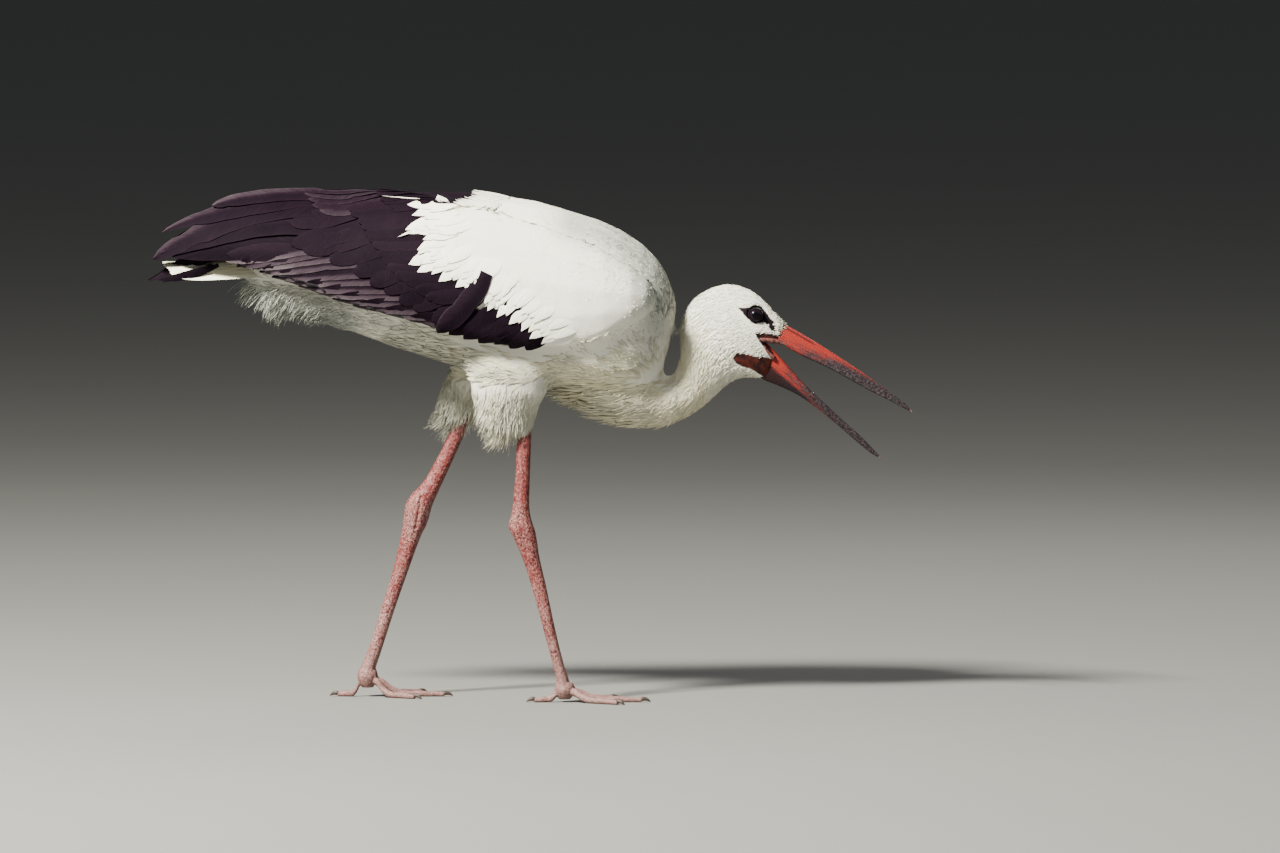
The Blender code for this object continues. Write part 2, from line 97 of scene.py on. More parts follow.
class Graph:
    """A material's nodes, with short ways to add and join them."""

    def __init__(self, name: str) -> None:
        """Starts a material with its Principled shader."""
        self.material = bpy.data.materials.new(name)
        self.material.use_nodes = True
        self.tree = self.material.node_tree
        self.shader = self.tree.nodes["Principled BSDF"]

    def put(self, socket: Socket, value: object) -> None:
        """Links a socket to another node's output, or sets it to a plain value."""
        if isinstance(value, Socket):
            self.tree.links.new(value, socket)
        elif isinstance(value, (tuple, list)) and len(value) == 3 and socket.type == "RGBA":
            socket.default_value = (*value, 1)
        else:
            socket.default_value = value

    def node(self, kind: str, inputs: dict, **settings: object) -> bpy.types.Node:
        """Adds a node.

        Args:
            kind: the node's type without its ShaderNode prefix.
            inputs: values or outputs for its sockets, by name or number.
            settings: the node's own properties.

        Returns:
            The new node.
        """
        made = self.tree.nodes.new("ShaderNode" + kind)
        for key, value in settings.items():
            setattr(made, key, value)
        for key, value in inputs.items():
            self.put(made.inputs[key], value)
        return made

    def place(self) -> Socket:
        """The place on the piece, as object coordinates."""
        return self.node("TexCoord", {}).outputs["Object"]

    def mark(self, name: str) -> Socket:
        """A number carried by the mesh, by its attribute's name."""
        return self.node("Attribute", {}, attribute_name=name).outputs["Fac"]

    def sum(self, operation: str, a: object, b: object = 0.5) -> Socket:
        """One step of arithmetic."""
        return self.node("Math", {0: a, 1: b}, operation=operation).outputs[0]

    def plus(self, a: object, b: object) -> Socket:
        """Two values added."""
        return self.sum("ADD", a, b)

    def times(self, a: object, b: object) -> Socket:
        """Two values multiplied."""
        return self.sum("MULTIPLY", a, b)

    def swing(self, value: object, noise: object, amount: float) -> Socket:
        """A value moved up and down by noise about the noise's middle of 0.5."""
        return self.plus(value, self.times(self.sum("SUBTRACT", noise), amount))

    def blend(self, share: object, a: object, b: object, how: str = "MIX") -> Socket:
        """A mix of two colours."""
        made = self.node("Mix", {0: share, 6: a, 7: b}, data_type="RGBA", blend_type=how)
        return made.outputs[2]

    def ramp(self, value: object, stops: Sequence[tuple]) -> Socket:
        """A colour read from a row of (place, colour) stops."""
        made = self.node("ValToRGB", {0: value})
        band = made.color_ramp.elements
        while len(band) < len(stops):
            band.new(1.0)
        for element, (place, colour) in zip(band, stops):
            element.position = place
            element.color = (*colour, 1)
        return made.outputs["Color"]

    def stretch(self, value: object, low: float, high: float, to_low: float = 0.0,
                to_high: float = 1.0) -> Socket:
        """A value moved from one range to another, and held inside it."""
        made = self.node("MapRange", {0: value, 1: low, 2: high, 3: to_low, 4: to_high})
        return made.outputs[0]

    def noise(self, vector: object, scale: float, detail: float = 3, rough: float = 0.55) -> Socket:
        """Soft noise from 0 to 1."""
        inputs = {"Vector": vector, "Scale": scale, "Detail": detail, "Roughness": rough}
        return self.node("TexNoise", inputs).outputs["Fac"]

    def paint(self, colour: object) -> None:
        """Sets the shader's colour."""
        self.put(self.shader.inputs["Base Color"], colour)

    def bump(self, height: object, distance: float, strength: float = 1.0) -> None:
        """Roughens the shader's surface by a height in metres times distance."""
        made = self.node("Bump", {"Height": height, "Distance": distance, "Strength": strength})
        self.put(self.shader.inputs["Normal"], made.outputs[0])

    def gloss(self, roughness: object, **others: float) -> None:
        """Sets the shader's roughness and other plain values, by socket name with _ for spaces."""
        self.put(self.shader.inputs["Roughness"], roughness)
        for name, value in others.items():
            self.shader.inputs[name.replace("_", " ")].default_value = value


@dataclass(frozen=True)
class Plumage:
    """The finish of vanes: a tint from 0 to 1 carried by the mesh picks the colour, and barbs streak it.

    The barbs are fine lines, so their pattern is noise stretched along (lengthwise times the place along
    the vane, minus slant times the place across it) and (sidewise times the place across it). streak is
    how much they change the tint and relief how deep they are, in metres. The mesh's grey is painted
    shade: it turns the colour towards a shaded grey where shade falls on the white feathers.
    """

    name: str
    stops: tuple
    streak: float
    relief: float
    lengthwise: float
    slant: float
    sidewise: float
    roughness: float
    gleam: float

    def material(self) -> bpy.types.Material:
        """Builds the finish."""
        graph = Graph(self.name)
        along, across, tone = graph.mark("along"), graph.mark("across"), graph.mark("tone")
        outwards = graph.sum("ABSOLUTE", across)
        slant = graph.sum("SUBTRACT", graph.times(along, self.lengthwise), graph.times(outwards, self.slant))
        barb_place = graph.node("CombineXYZ", {
            0: slant, 1: graph.times(across, self.sidewise), 2: graph.times(tone, 40.0)}).outputs[0]
        barbs = graph.noise(barb_place, 1.0, 2)
        patches = graph.noise(graph.place(), 35.0, 3)
        # barbs, then broad patches, and then a tone of each feather's own move the tint
        tint = graph.swing(graph.mark("tint"), barbs, self.streak)
        tint = graph.swing(tint, patches, self.streak * 0.8)
        tint = graph.swing(tint, tone, self.streak * 0.5)
        # painted shade: the mesh's grey turns the colour towards a shaded grey
        graph.paint(graph.blend(graph.mark("grey"), graph.ramp(tint, self.stops), SHADE_PAINT_GREY))
        graph.bump(barbs, self.relief)
        graph.gloss(self.roughness, Specular_IOR_Level=self.gleam)
        return graph.material


@dataclass(frozen=True)
class BodySkin:
    """The finish under the coat, by the marks its mesh carries, each from 0 to 1.

    dark is 1 under black feathers, and grey, painted shade, turns the white to a shaded grey. bare is 1 on
    bare skin, which is the face's where face is 1 too, and the throat's elsewhere.
    """

    name: str = "skin_under_coat"
    white: tuple = (0.90, 0.88, 0.78)
    shade: tuple = (0.80, 0.76, 0.64)
    black: tuple = (0.005, 0.003, 0.005)
    throat_red: tuple = (0.080, 0.012, 0.007)
    throat_dark: tuple = (0.010, 0.004, 0.004)
    face_black: tuple = (0.003, 0.0016, 0.003)
    face_purple: tuple = (0.014, 0.005, 0.009)

    def material(self) -> bpy.types.Material:
        """Builds the finish."""
        graph = Graph(self.name)
        mottle = graph.noise(graph.place(), 160.0, 4)
        down = graph.blend(graph.stretch(mottle, 0.35, 0.75, to_high=0.6), self.white, self.shade)
        # painted shade on the skin between the feathers, as on the coat
        down = graph.blend(graph.mark("grey"), down, SHADE_PAINT_GREY)
        coat = graph.blend(graph.mark("dark"), down, self.black)
        throat = graph.blend(graph.stretch(mottle, 0.4, 0.65), self.throat_red, self.throat_dark)
        face = graph.blend(graph.stretch(mottle, 0.4, 0.7), self.face_black, self.face_purple)
        bare = graph.blend(graph.mark("face"), throat, face)
        graph.paint(graph.blend(graph.mark("bare"), coat, bare))
        graph.bump(graph.noise(graph.place(), 900.0, 4), 0.0006)
        graph.gloss(0.75, Specular_IOR_Level=0.2)
        return graph.material


@dataclass(frozen=True)
class BillHorn:
    """Horn that is orange-red at its base and mottled blackish towards its tip.

    The mesh carries age (how far the dark has come, half-way at 0.5), along (0 at the base, 1 at the tip),
    ridge, groove (1 in slits, painted dark as their shade) and throat (1 on the bare skin under the lower
    half). Streaks drawn out along the bill and fine specks break up the dark's edge.
    """

    name: str = "bill_horn"
    red: tuple = (0.27, 0.022, 0.015)
    deep: tuple = (0.15, 0.011, 0.009)
    dark: tuple = (0.010, 0.006, 0.009)
    grey: tuple = (0.060, 0.046, 0.050)
    pale: tuple = (0.26, 0.15, 0.11)
    maroon: tuple = (0.018, 0.0025, 0.003)

    def material(self) -> bpy.types.Material:
        """Builds the finish."""
        graph = Graph(self.name)
        along, ridge, throat = graph.mark("along"), graph.mark("ridge"), graph.mark("throat")
        lengthwise = graph.node("CombineXYZ", {0: graph.times(along, 7.0), 1: graph.times(ridge, 9.0)})
        streaks = graph.noise(lengthwise.outputs[0], 1.8, 5, 0.65)
        specks = graph.noise(graph.place(), 460.0, 5, 0.75)
        horn = graph.blend(graph.stretch(specks, 0.4, 0.75, to_high=0.8), self.red, self.deep)
        age = graph.swing(graph.mark("age"), streaks, 0.9)
        age = graph.swing(age, specks, 0.35)
        old = graph.blend(graph.stretch(specks, 0.45, 0.66), self.dark, self.grey)
        colour = graph.blend(graph.stretch(age, 0.42, 0.62), horn, old)
        worn = graph.times(graph.stretch(streaks, 0.62, 0.72, to_high=0.5), graph.stretch(along, 0.3, 0.6))
        colour = graph.blend(worn, colour, self.deep)
        colour = graph.blend(graph.stretch(along, 0.955, 0.995, to_high=0.85), colour, self.pale)
        under = graph.blend(graph.stretch(along, 0.1, 0.4), self.maroon, self.dark)
        hidden = graph.times(throat, graph.stretch(along, 0.42, 0.5, 1.0, 0.0))
        colour = graph.blend(hidden, colour, under)
        # painted shade: the nostril slits and the throat's crease are painted dark
        graph.paint(graph.blend(graph.mark("groove"), colour, self.dark))
        graph.bump(graph.plus(streaks, graph.times(specks, 0.8)), 0.0006)
        graph.gloss(graph.stretch(specks, 0.3, 0.7, 0.36, 0.6), Specular_IOR_Level=0.25)
        return graph.material


@dataclass(frozen=True)
class LegSkin:
    """Pink-red skin whose scales are chalky in patches, with the furrows between them and a few whole scales
    as dark as pits.

    The mesh carries furrow (1 between scales), chalk (a number of each scale's own), worn (how much more of
    the chalky cover there is) and grime.
    """

    name: str = "leg_skin"
    pit: tuple = (0.040, 0.005, 0.008)
    red: tuple = (0.16, 0.016, 0.017)
    pink: tuple = (0.25, 0.045, 0.037)
    pale: tuple = (0.36, 0.27, 0.24)
    grey: tuple = (0.20, 0.13, 0.115)

    def material(self) -> bpy.types.Material:
        """Builds the finish."""
        graph = Graph(self.name)
        place, chalk, furrow = graph.place(), graph.mark("chalk"), graph.mark("furrow")
        broad, fine = graph.noise(place, 45.0, 3), graph.noise(place, 900.0, 4)
        skin = graph.blend(chalk, self.red, self.pink)
        cover = graph.mark("worn")
        for part, amount in ((broad, 0.9), (chalk, 0.6), (fine, 0.4)):
            cover = graph.plus(cover, graph.times(part, amount))
        top = graph.times(graph.sum("SUBTRACT", 1.0, furrow), graph.stretch(cover, 0.9, 1.5, to_high=0.8))
        colour = graph.blend(top, skin, self.pale)
        colour = graph.blend(graph.stretch(furrow, 0.25, 0.85, to_high=0.95), colour, self.pit)
        colour = graph.blend(graph.stretch(chalk, 0.12, 0.2, 0.75, 0.0), colour, self.pit)
        graph.paint(graph.blend(graph.mark("grime"), colour, self.grey))
        graph.bump(graph.plus(fine, graph.noise(place, 420.0, 3)), 0.0004)
        graph.gloss(graph.stretch(fine, 0.3, 0.7, 0.45, 0.65))
        return graph.material


@dataclass(frozen=True)
class EyeGloss:
    """A wet eye: a black pupil in a dark brown iris, by the distance from the eye's axis."""

    name: str = "eye_gloss"
    pupil: tuple = (0.0015, 0.001, 0.002)
    iris: tuple = (0.010, 0.0045, 0.009)
    rim: tuple = (0.002, 0.001, 0.002)

    def material(self) -> bpy.types.Material:
        """Builds the finish."""
        graph = Graph(self.name)
        stops = (0.0, self.pupil), (0.36, self.pupil), (0.42, self.iris), (0.62, self.iris), (0.74, self.rim)
        graph.paint(graph.ramp(graph.mark("off_axis"), stops))
        graph.gloss(0.2, Specular_IOR_Level=0.12)
        return graph.material


@dataclass(frozen=True)
class Flesh:
    """Moist or dry skin or horn of one hue, mottled by noise of a grain and pitted to a depth in metres."""

    name: str
    colour: tuple
    darker: tuple
    roughness: float
    grain: float
    depth: float
    gleam: float = 0.3

    def material(self) -> bpy.types.Material:
        """Builds the finish."""
        graph = Graph(self.name)
        mottle = graph.noise(graph.place(), self.grain, 4)
        graph.paint(graph.blend(graph.stretch(mottle, 0.35, 0.68), self.colour, self.darker))
        graph.bump(mottle, self.depth)
        graph.gloss(self.roughness, Specular_IOR_Level=self.gleam)
        return graph.material


@dataclass(frozen=True)
class PaleFloor:
    """The studio floor: pale, matt, with the faintest cloudiness."""

    name: str = "pale_floor"
    colour: tuple = (0.19, 0.19, 0.183)
    darker: tuple = (0.177, 0.177, 0.171)

    def material(self) -> bpy.types.Material:
        """Builds the finish."""
        graph = Graph(self.name)
        cloud = graph.noise(graph.place(), 2.0, 2)
        graph.paint(graph.blend(cloud, self.colour, self.darker))
        graph.gloss(0.85)
        return graph.material


WHITE_COAT = Plumage(
    "white_plumage",
    ((0.0, (0.93, 0.92, 0.82)), (0.35, (0.84, 0.79, 0.56)), (0.65, (0.62, 0.55, 0.38)),
     (1.0, (0.36, 0.33, 0.27))),
    streak=0.2, relief=0.0007, lengthwise=3.0, slant=0.0, sidewise=6.0, roughness=0.8, gleam=0.2,
)
BLACK_COAT = Plumage(
    "black_plumage",
    ((0.0, (0.0035, 0.0016, 0.004)), (0.3, (0.010, 0.0048, 0.0095)), (0.62, (0.038, 0.027, 0.035)),
     (1.0, (0.14, 0.115, 0.122))),
    streak=0.26, relief=0.0005, lengthwise=60.0, slant=5.0, sidewise=1.5, roughness=0.68, gleam=0.03,
)
LID_SKIN = Flesh("lid_skin", (0.008, 0.004, 0.007), (0.003, 0.002, 0.003), roughness=0.6, grain=900.0,
                 depth=0.0004, gleam=0.08)
MOUTH_SKIN = Flesh("mouth_skin", (0.20, 0.075, 0.065), (0.012, 0.003, 0.004), roughness=0.4, grain=300.0,
                   depth=0.0006)
CLAW_HORN = Flesh("claw_horn", (0.075, 0.055, 0.045), (0.02, 0.014, 0.012), roughness=0.4, grain=500.0,
                  depth=0.0003)


# ---- Meshes from arrays


def unit(vectors: Array) -> Array:
    """Vectors shortened to a length of one."""
    return vectors / np.maximum(np.linalg.norm(vectors, axis=-1, keepdims=True), 1e-12)


def laid_flat(vectors: Array, normals: Array) -> Array:
    """Vectors turned down onto the surface that the normals stand on, with a length of one."""
    return unit(vectors - normals * (vectors * normals).sum(-1, keepdims=True))


def smoothstep(value: Array, low: float, high: float) -> Array:
    """A soft step from 0 at low to 1 at high."""
    t = np.clip((value - low) / (high - low), 0, 1)
    return t * t * (3 - 2 * t)


def add_object(name: str, data: bpy.types.ID) -> Piece:
    """Adds an object with some data to the scene."""
    made = bpy.data.objects.new(name, data)
    bpy.context.scene.collection.objects.link(made)
    return made


def write_marks(mesh: bpy.types.Mesh, marks: dict) -> None:
    """Stores numbers for the vertices, each set under its name."""
    for name, values in marks.items():
        mark = mesh.attributes.new(name, "FLOAT", "POINT")
        mark.data.foreach_set("value", values.ravel().astype(np.float32))


def make_piece(name: str, points: Array, quads: Array, marks: dict, uv: Array | None = None,
               crisp: int = 0) -> Piece:
    """Makes a smooth mesh piece of quads, facing outwards.

    Args:
        name: the piece's name.
        points: its vertices, in millimetres, as (..., 3).
        quads: vertex numbers, as (count, 4).
        marks: a number for each vertex, by attribute name.
        uv: a place on the bake map for each vertex, as (..., 2).
        crisp: for vanes, the points in each cross-section, so that both edges of a vane stay crisp.

    Returns:
        The piece, linked to the scene, with its place in its mesh.
    """
    points = points.reshape(-1, 3) * MM
    a, b, c, d = (points[quads[:, k]] for k in range(4))
    volume = np.einsum("ij,ij->i", a, np.cross(b, c)).sum() + np.einsum("ij,ij->i", a, np.cross(c, d)).sum()
    if volume < 0:  # the faces look inwards
        quads = quads[:, ::-1]
    mesh = bpy.data.meshes.new(name)
    mesh.vertices.add(len(points))
    mesh.vertices.foreach_set("co", points.ravel())
    mesh.loops.add(quads.size)
    mesh.loops.foreach_set("vertex_index", quads.ravel().astype(np.int32))
    mesh.polygons.add(len(quads))
    mesh.polygons.foreach_set("loop_start", np.arange(0, quads.size, 4, dtype=np.int32))
    mesh.polygons.foreach_set("use_smooth", np.ones(len(quads), bool))
    write_marks(mesh, marks)
    if uv is not None:
        corners = uv.reshape(-1, 2)[quads]
        mesh.uv_layers.new(name="OFBake").data.foreach_set("uv", corners.ravel().astype(np.float32))
    mesh.update(calc_edges=True)
    if crisp:
        ends = np.empty(len(mesh.edges) * 2, np.int32)
        mesh.edges.foreach_get("vertices", ends)
        around = ends.reshape(-1, 2) % crisp
        edge = (around[:, 0] == around[:, 1]) & np.isin(around[:, 0], (0, crisp // 2))
        mesh.attributes.new("sharp_edge", "BOOLEAN", "EDGE").data.foreach_set("value", edge)
    mesh.validate()
    return add_object(name, mesh)


def finish_piece(piece: Piece, material: bpy.types.Material,
                 replaces: Sequence[str] = ()) -> Piece:
    """Dresses a piece, lets it ride on the bird's body, and reports it.

    Args:
        piece: the piece.
        material: its finish.
        replaces: the solids that it stands for.

    Returns:
        The piece.
    """
    piece.data.materials.clear()
    piece.data.materials.append(material)
    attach(piece, "root")
    if replaces:
        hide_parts(*replaces)
    log.info("%s: %d faces", piece.name, len(piece.data.polygons))
    return piece


def ring_quads(count: int, rings: int, around: int) -> Array:
    """Quads of many closed tubes at once.

    Each tube is a stack of rings, joined side to side, and each end is closed by a ladder of quads across
    its ring, which needs an even number of points around.

    Args:
        count: how many tubes.
        rings: rings in each.
        around: points in each ring.

    Returns:
        Vertex numbers as (faces, 4), for vertices ordered by tube, ring and place around.
    """
    index = np.arange(count * rings * around).reshape(count, rings, around)
    near, far = index[:, :-1], index[:, 1:]
    sides = np.stack([near, np.roll(near, -1, 2), np.roll(far, -1, 2), far], -1).reshape(-1, 4)
    step = np.arange(around // 2 - 1)
    ladder = np.stack([step, step + 1, around - 2 - step, around - 1 - step], -1)
    first = index[:, 0][:, ladder[:, ::-1]].reshape(-1, 4)
    last = index[:, -1][:, ladder].reshape(-1, 4)
    return np.concatenate([sides, first, last])


def grow_tree(places: Array) -> KDTree:
    """A search tree of places."""
    tree = KDTree(len(places))
    for number, place in enumerate(places.tolist()):
        tree.insert(place, number)
    tree.balance()
    return tree


def box_of(node: str) -> tuple[Array, Array]:
    """A solid's lowest and highest corners, in millimetres."""
    low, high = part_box(node)
    return np.array(low) / MM, np.array(high) / MM


def from_line(points: Array, line: Sequence[float], slack: float = 0.0) -> Array:
    """How far (x, y, z) points are from a line in the side view.

    Args:
        points: the points, as (..., 3).
        line: x and z of its start, then of its end.
        slack: the share of its length by which it is drawn out at both ends.

    Returns:
        The distances.
    """
    x0, z0, x1, z1 = line
    way, away = np.array([x1 - x0, z1 - z0]), points[..., [0, 2]] - np.array([x0, z0])
    share = np.clip(away @ way / (way @ way), -slack, 1 + slack)
    return np.linalg.norm(away - share[..., None] * way, axis=-1)


def section_of(around: int) -> Array:
    """A vane's cross-section: a flat closed loop of (place across, height), a ridge at its middle.

    Points run over the top from -1 to 1, closer together towards the edges, and back underneath. The
    height is one over the shaft, falls to nothing at the edges, and is shallower below.
    """
    half = around // 2
    top = np.sin(np.linspace(-0.5, 0.5, half + 1) * math.pi)
    height = (1 - np.abs(top) ** 1.5) * 0.7 + 0.3 * np.exp(-(top / 0.14) ** 2) * (1 - np.abs(top))
    under = top[1:-1][::-1]
    return np.concatenate([np.stack([top, height], -1), np.stack([under, -0.5 * (1 - np.abs(under))], -1)])


def width_profile(outline: Outline, s: Array) -> Array:
    """The share of a vane's full width at each share s of its length, by its outline.

    ROUND widens from a narrow root and closes in a round arc. LANCE tapers from its first third to a
    point, and POINTED from its middle. STRAND narrows all the way. QUILL stays wide and rounds off to a
    blunt point near the end.
    """
    if outline is ROUND:
        return (0.5 + 0.5 * np.minimum(1, s / 0.3)) * np.sqrt(1 - np.clip((s - 0.6) / 0.4, 0, 0.998) ** 2)
    if outline is LANCE:
        return (0.45 + 0.55 * np.minimum(1, s / 0.25)) * (1 - 0.96 * np.clip((s - 0.25) / 0.75, 0, 1) ** 1.4)
    if outline is POINTED:
        return (0.5 + 0.5 * np.minimum(1, s / 0.3)) * (1 - 0.97 * np.clip((s - 0.5) / 0.5, 0, 1) ** 2)
    if outline is STRAND:
        return 1 - 0.9 * s**1.3
    return (0.6 + 0.4 * np.minimum(1, s / 0.2)) * np.sqrt(1 - np.clip((s - 0.72) / 0.28, 0, 0.995) ** 1.7)


# ---- The skin and how feathers lie on it


class FlowField:
    """The lie of the coat everywhere: a mean of given lies, weighted by distance to the power of -3.

    A lie says how feathers lie about one place of the side view: x, z, angle, length, width and lift. The
    angle is degrees from straight ahead towards up, the lift is how far the tip stands off the skin, and
    the rest are millimetres.
    """

    blur: float = 9.0  # square millimetres added to each squared distance, so that no weight is endless

    def __init__(self, lies: Sequence[tuple]) -> None:
        """Keeps the lies as arrays."""
        rows = np.array(lies, float)
        turn = np.radians(rows[:, 2])
        self.places = rows[:, :2]
        self.values = np.column_stack([np.cos(turn), np.sin(turn), rows[:, 3:]])

    def at(self, points: Array) -> tuple[Array, Array]:
        """Reads the field.

        Args:
            points: places in millimetres, as (count, 3).

        Returns:
            Directions as (count, 3) unit vectors, and (length, width, lift) as (count, 3).
        """
        offsets = points[:, None, [0, 2]] - self.places
        weights = (np.square(offsets).sum(-1) + self.blur) ** -1.5
        mean = weights @ self.values / weights.sum(1, keepdims=True)
        direction = np.stack([mean[:, 0], np.zeros(len(mean)), mean[:, 1]], -1)
        return unit(direction), mean[:, 2:]


class Hide:
    """A closed surface that feathers grow on, in millimetres."""

    draws: float = 7.0  # places drawn for each square of a root's spacing

    def __init__(self, mesh: bpy.types.Mesh) -> None:
        """Reads the mesh's triangles and builds its search tree."""
        mesh.calc_loop_triangles()
        points = np.empty(len(mesh.vertices) * 3)
        mesh.vertices.foreach_get("co", points)
        corners = np.empty(len(mesh.loop_triangles) * 3, np.int32)
        mesh.loop_triangles.foreach_get("vertices", corners)
        self.points = points.reshape(-1, 3) / MM
        self.corners = corners.reshape(-1, 3)
        self.tree = BVHTree.FromPolygons(self.points.tolist(), self.corners.tolist())

    def nearest(self, places: Array) -> tuple[Array, Array]:
        """The surface's nearest points and their normals."""
        found = [self.tree.find_nearest(place)[:2] for place in places.reshape(-1, 3).tolist()]
        both = np.array([(*point, *normal) for point, normal in found])
        return both[:, :3].reshape(places.shape), both[:, 3:].reshape(places.shape)

    def scatter(self, wanted: Measure, spacing: Measure, seed: int) -> Array:
        """Places roots over part of the surface, evenly but in no pattern.

        Candidates are drawn on triangles by area, and each one kept clears the others within its spacing.

        Args:
            wanted: tells from (count, 3) places which are in the part.
            spacing: the distance between roots at places, in millimetres.
            seed: for the random draws.

        Returns:
            The kept places, as (count, 3).
        """
        rng = np.random.default_rng(seed)
        a, b, c = (self.points[self.corners[:, k]] for k in range(3))
        inside = wanted((a + b + c) / 3)
        a, b, c = a[inside], b[inside], c[inside]
        area = np.linalg.norm(np.cross(b - a, c - a), axis=1) / 2
        apart = spacing((a + b + c) / 3)
        counts = rng.poisson(area / apart**2 * self.draws)
        triangle = np.repeat(np.arange(len(a)), counts)
        u, v = rng.random((2, len(triangle)))
        fold = u + v > 1
        u, v = np.where(fold, 1 - u, u)[:, None], np.where(fold, 1 - v, v)[:, None]
        places = a[triangle] * (1 - u - v) + b[triangle] * u + c[triangle] * v
        order = rng.permutation(len(places))
        places, reach = places[order], apart[triangle][order]
        tree = grow_tree(places)
        free = np.ones(len(places), bool)
        kept = []
        for number, place in enumerate(places.tolist()):
            if free[number]:
                kept.append(number)
                free[[found[1] for found in tree.find_range(place, reach[number])]] = False
        return places[kept]


@dataclass(frozen=True)
class Tuft:
    """How one part of the coat is made.

    outline is the vane's shape, rings and around are its grid, strands is how many vanes share a root and
    fan how far they spread, in degrees. thick is the vane's thickness, cup how far its edges bend down as a
    share of its width, loose how freely its tip leaves the skin where the lift is freed mm or more, and
    sway its sideways bend, as a share of its length. jitter is how much the directions of roots differ, in
    degrees, and spacing the distance between roots as a share of the width. The lengths differ by uneven,
    as a share, and the widths and lifts within their ranges.
    """

    outline: Outline
    rings: int = 4
    around: int = 4
    strands: int = 1
    fan: float = 0.0
    thick: float = 0.35
    cup: float = 0.15
    loose: float = 0.0
    sway: float = 0.04
    jitter: float = 7.0
    spacing: float = 0.85
    uneven: float = 0.17
    freed: float = 4.0
    width_range: tuple = (0.85, 1.15)
    lift_range: tuple = (0.7, 1.3)


def vanes(path: Array, side: Array, up: Array, left: Array, right: Array, thick: Array, cup: float,
          around: int, roll: float = 0.0) -> tuple[Array, Array, Array]:
    """Builds many closed vanes at once.

    Each point is the shaft's point, plus the sideways vector times the half-width on its own side times
    the place across, plus the upward vector times (thickness times the section's height, minus the cup
    times the half-width times the place across squared, plus the roll times the sideways distance).

    Args:
        path: shafts, as (vanes, rings, 3).
        side: unit vectors to the right of the shaft.
        up: unit vectors off the skin.
        left: half-widths to the left, as (vanes, rings).
        right: half-widths to the right.
        thick: thickness at each ring.
        cup: how far the edges bend down, as a share of the half-width.
        around: points in each cross-section.
        roll: how much the right edge is tipped up, as a slope.

    Returns:
        Points as (vanes, rings, around, 3), the place across of each, and the place along of each.
    """
    across, height = section_of(around).T
    half = np.where(across < 0, left[..., None], right[..., None])
    sideways = half * across
    upwards = thick[..., None] * height - cup * half * across**2 + roll * sideways
    points = path[:, :, None] + side[:, :, None] * sideways[..., None] + up[:, :, None] * upwards[..., None]
    shape = points.shape[:3]
    along = np.linspace(0, 1, shape[1])[None, :, None]
    return points, np.broadcast_to(across, shape), np.broadcast_to(along, shape)


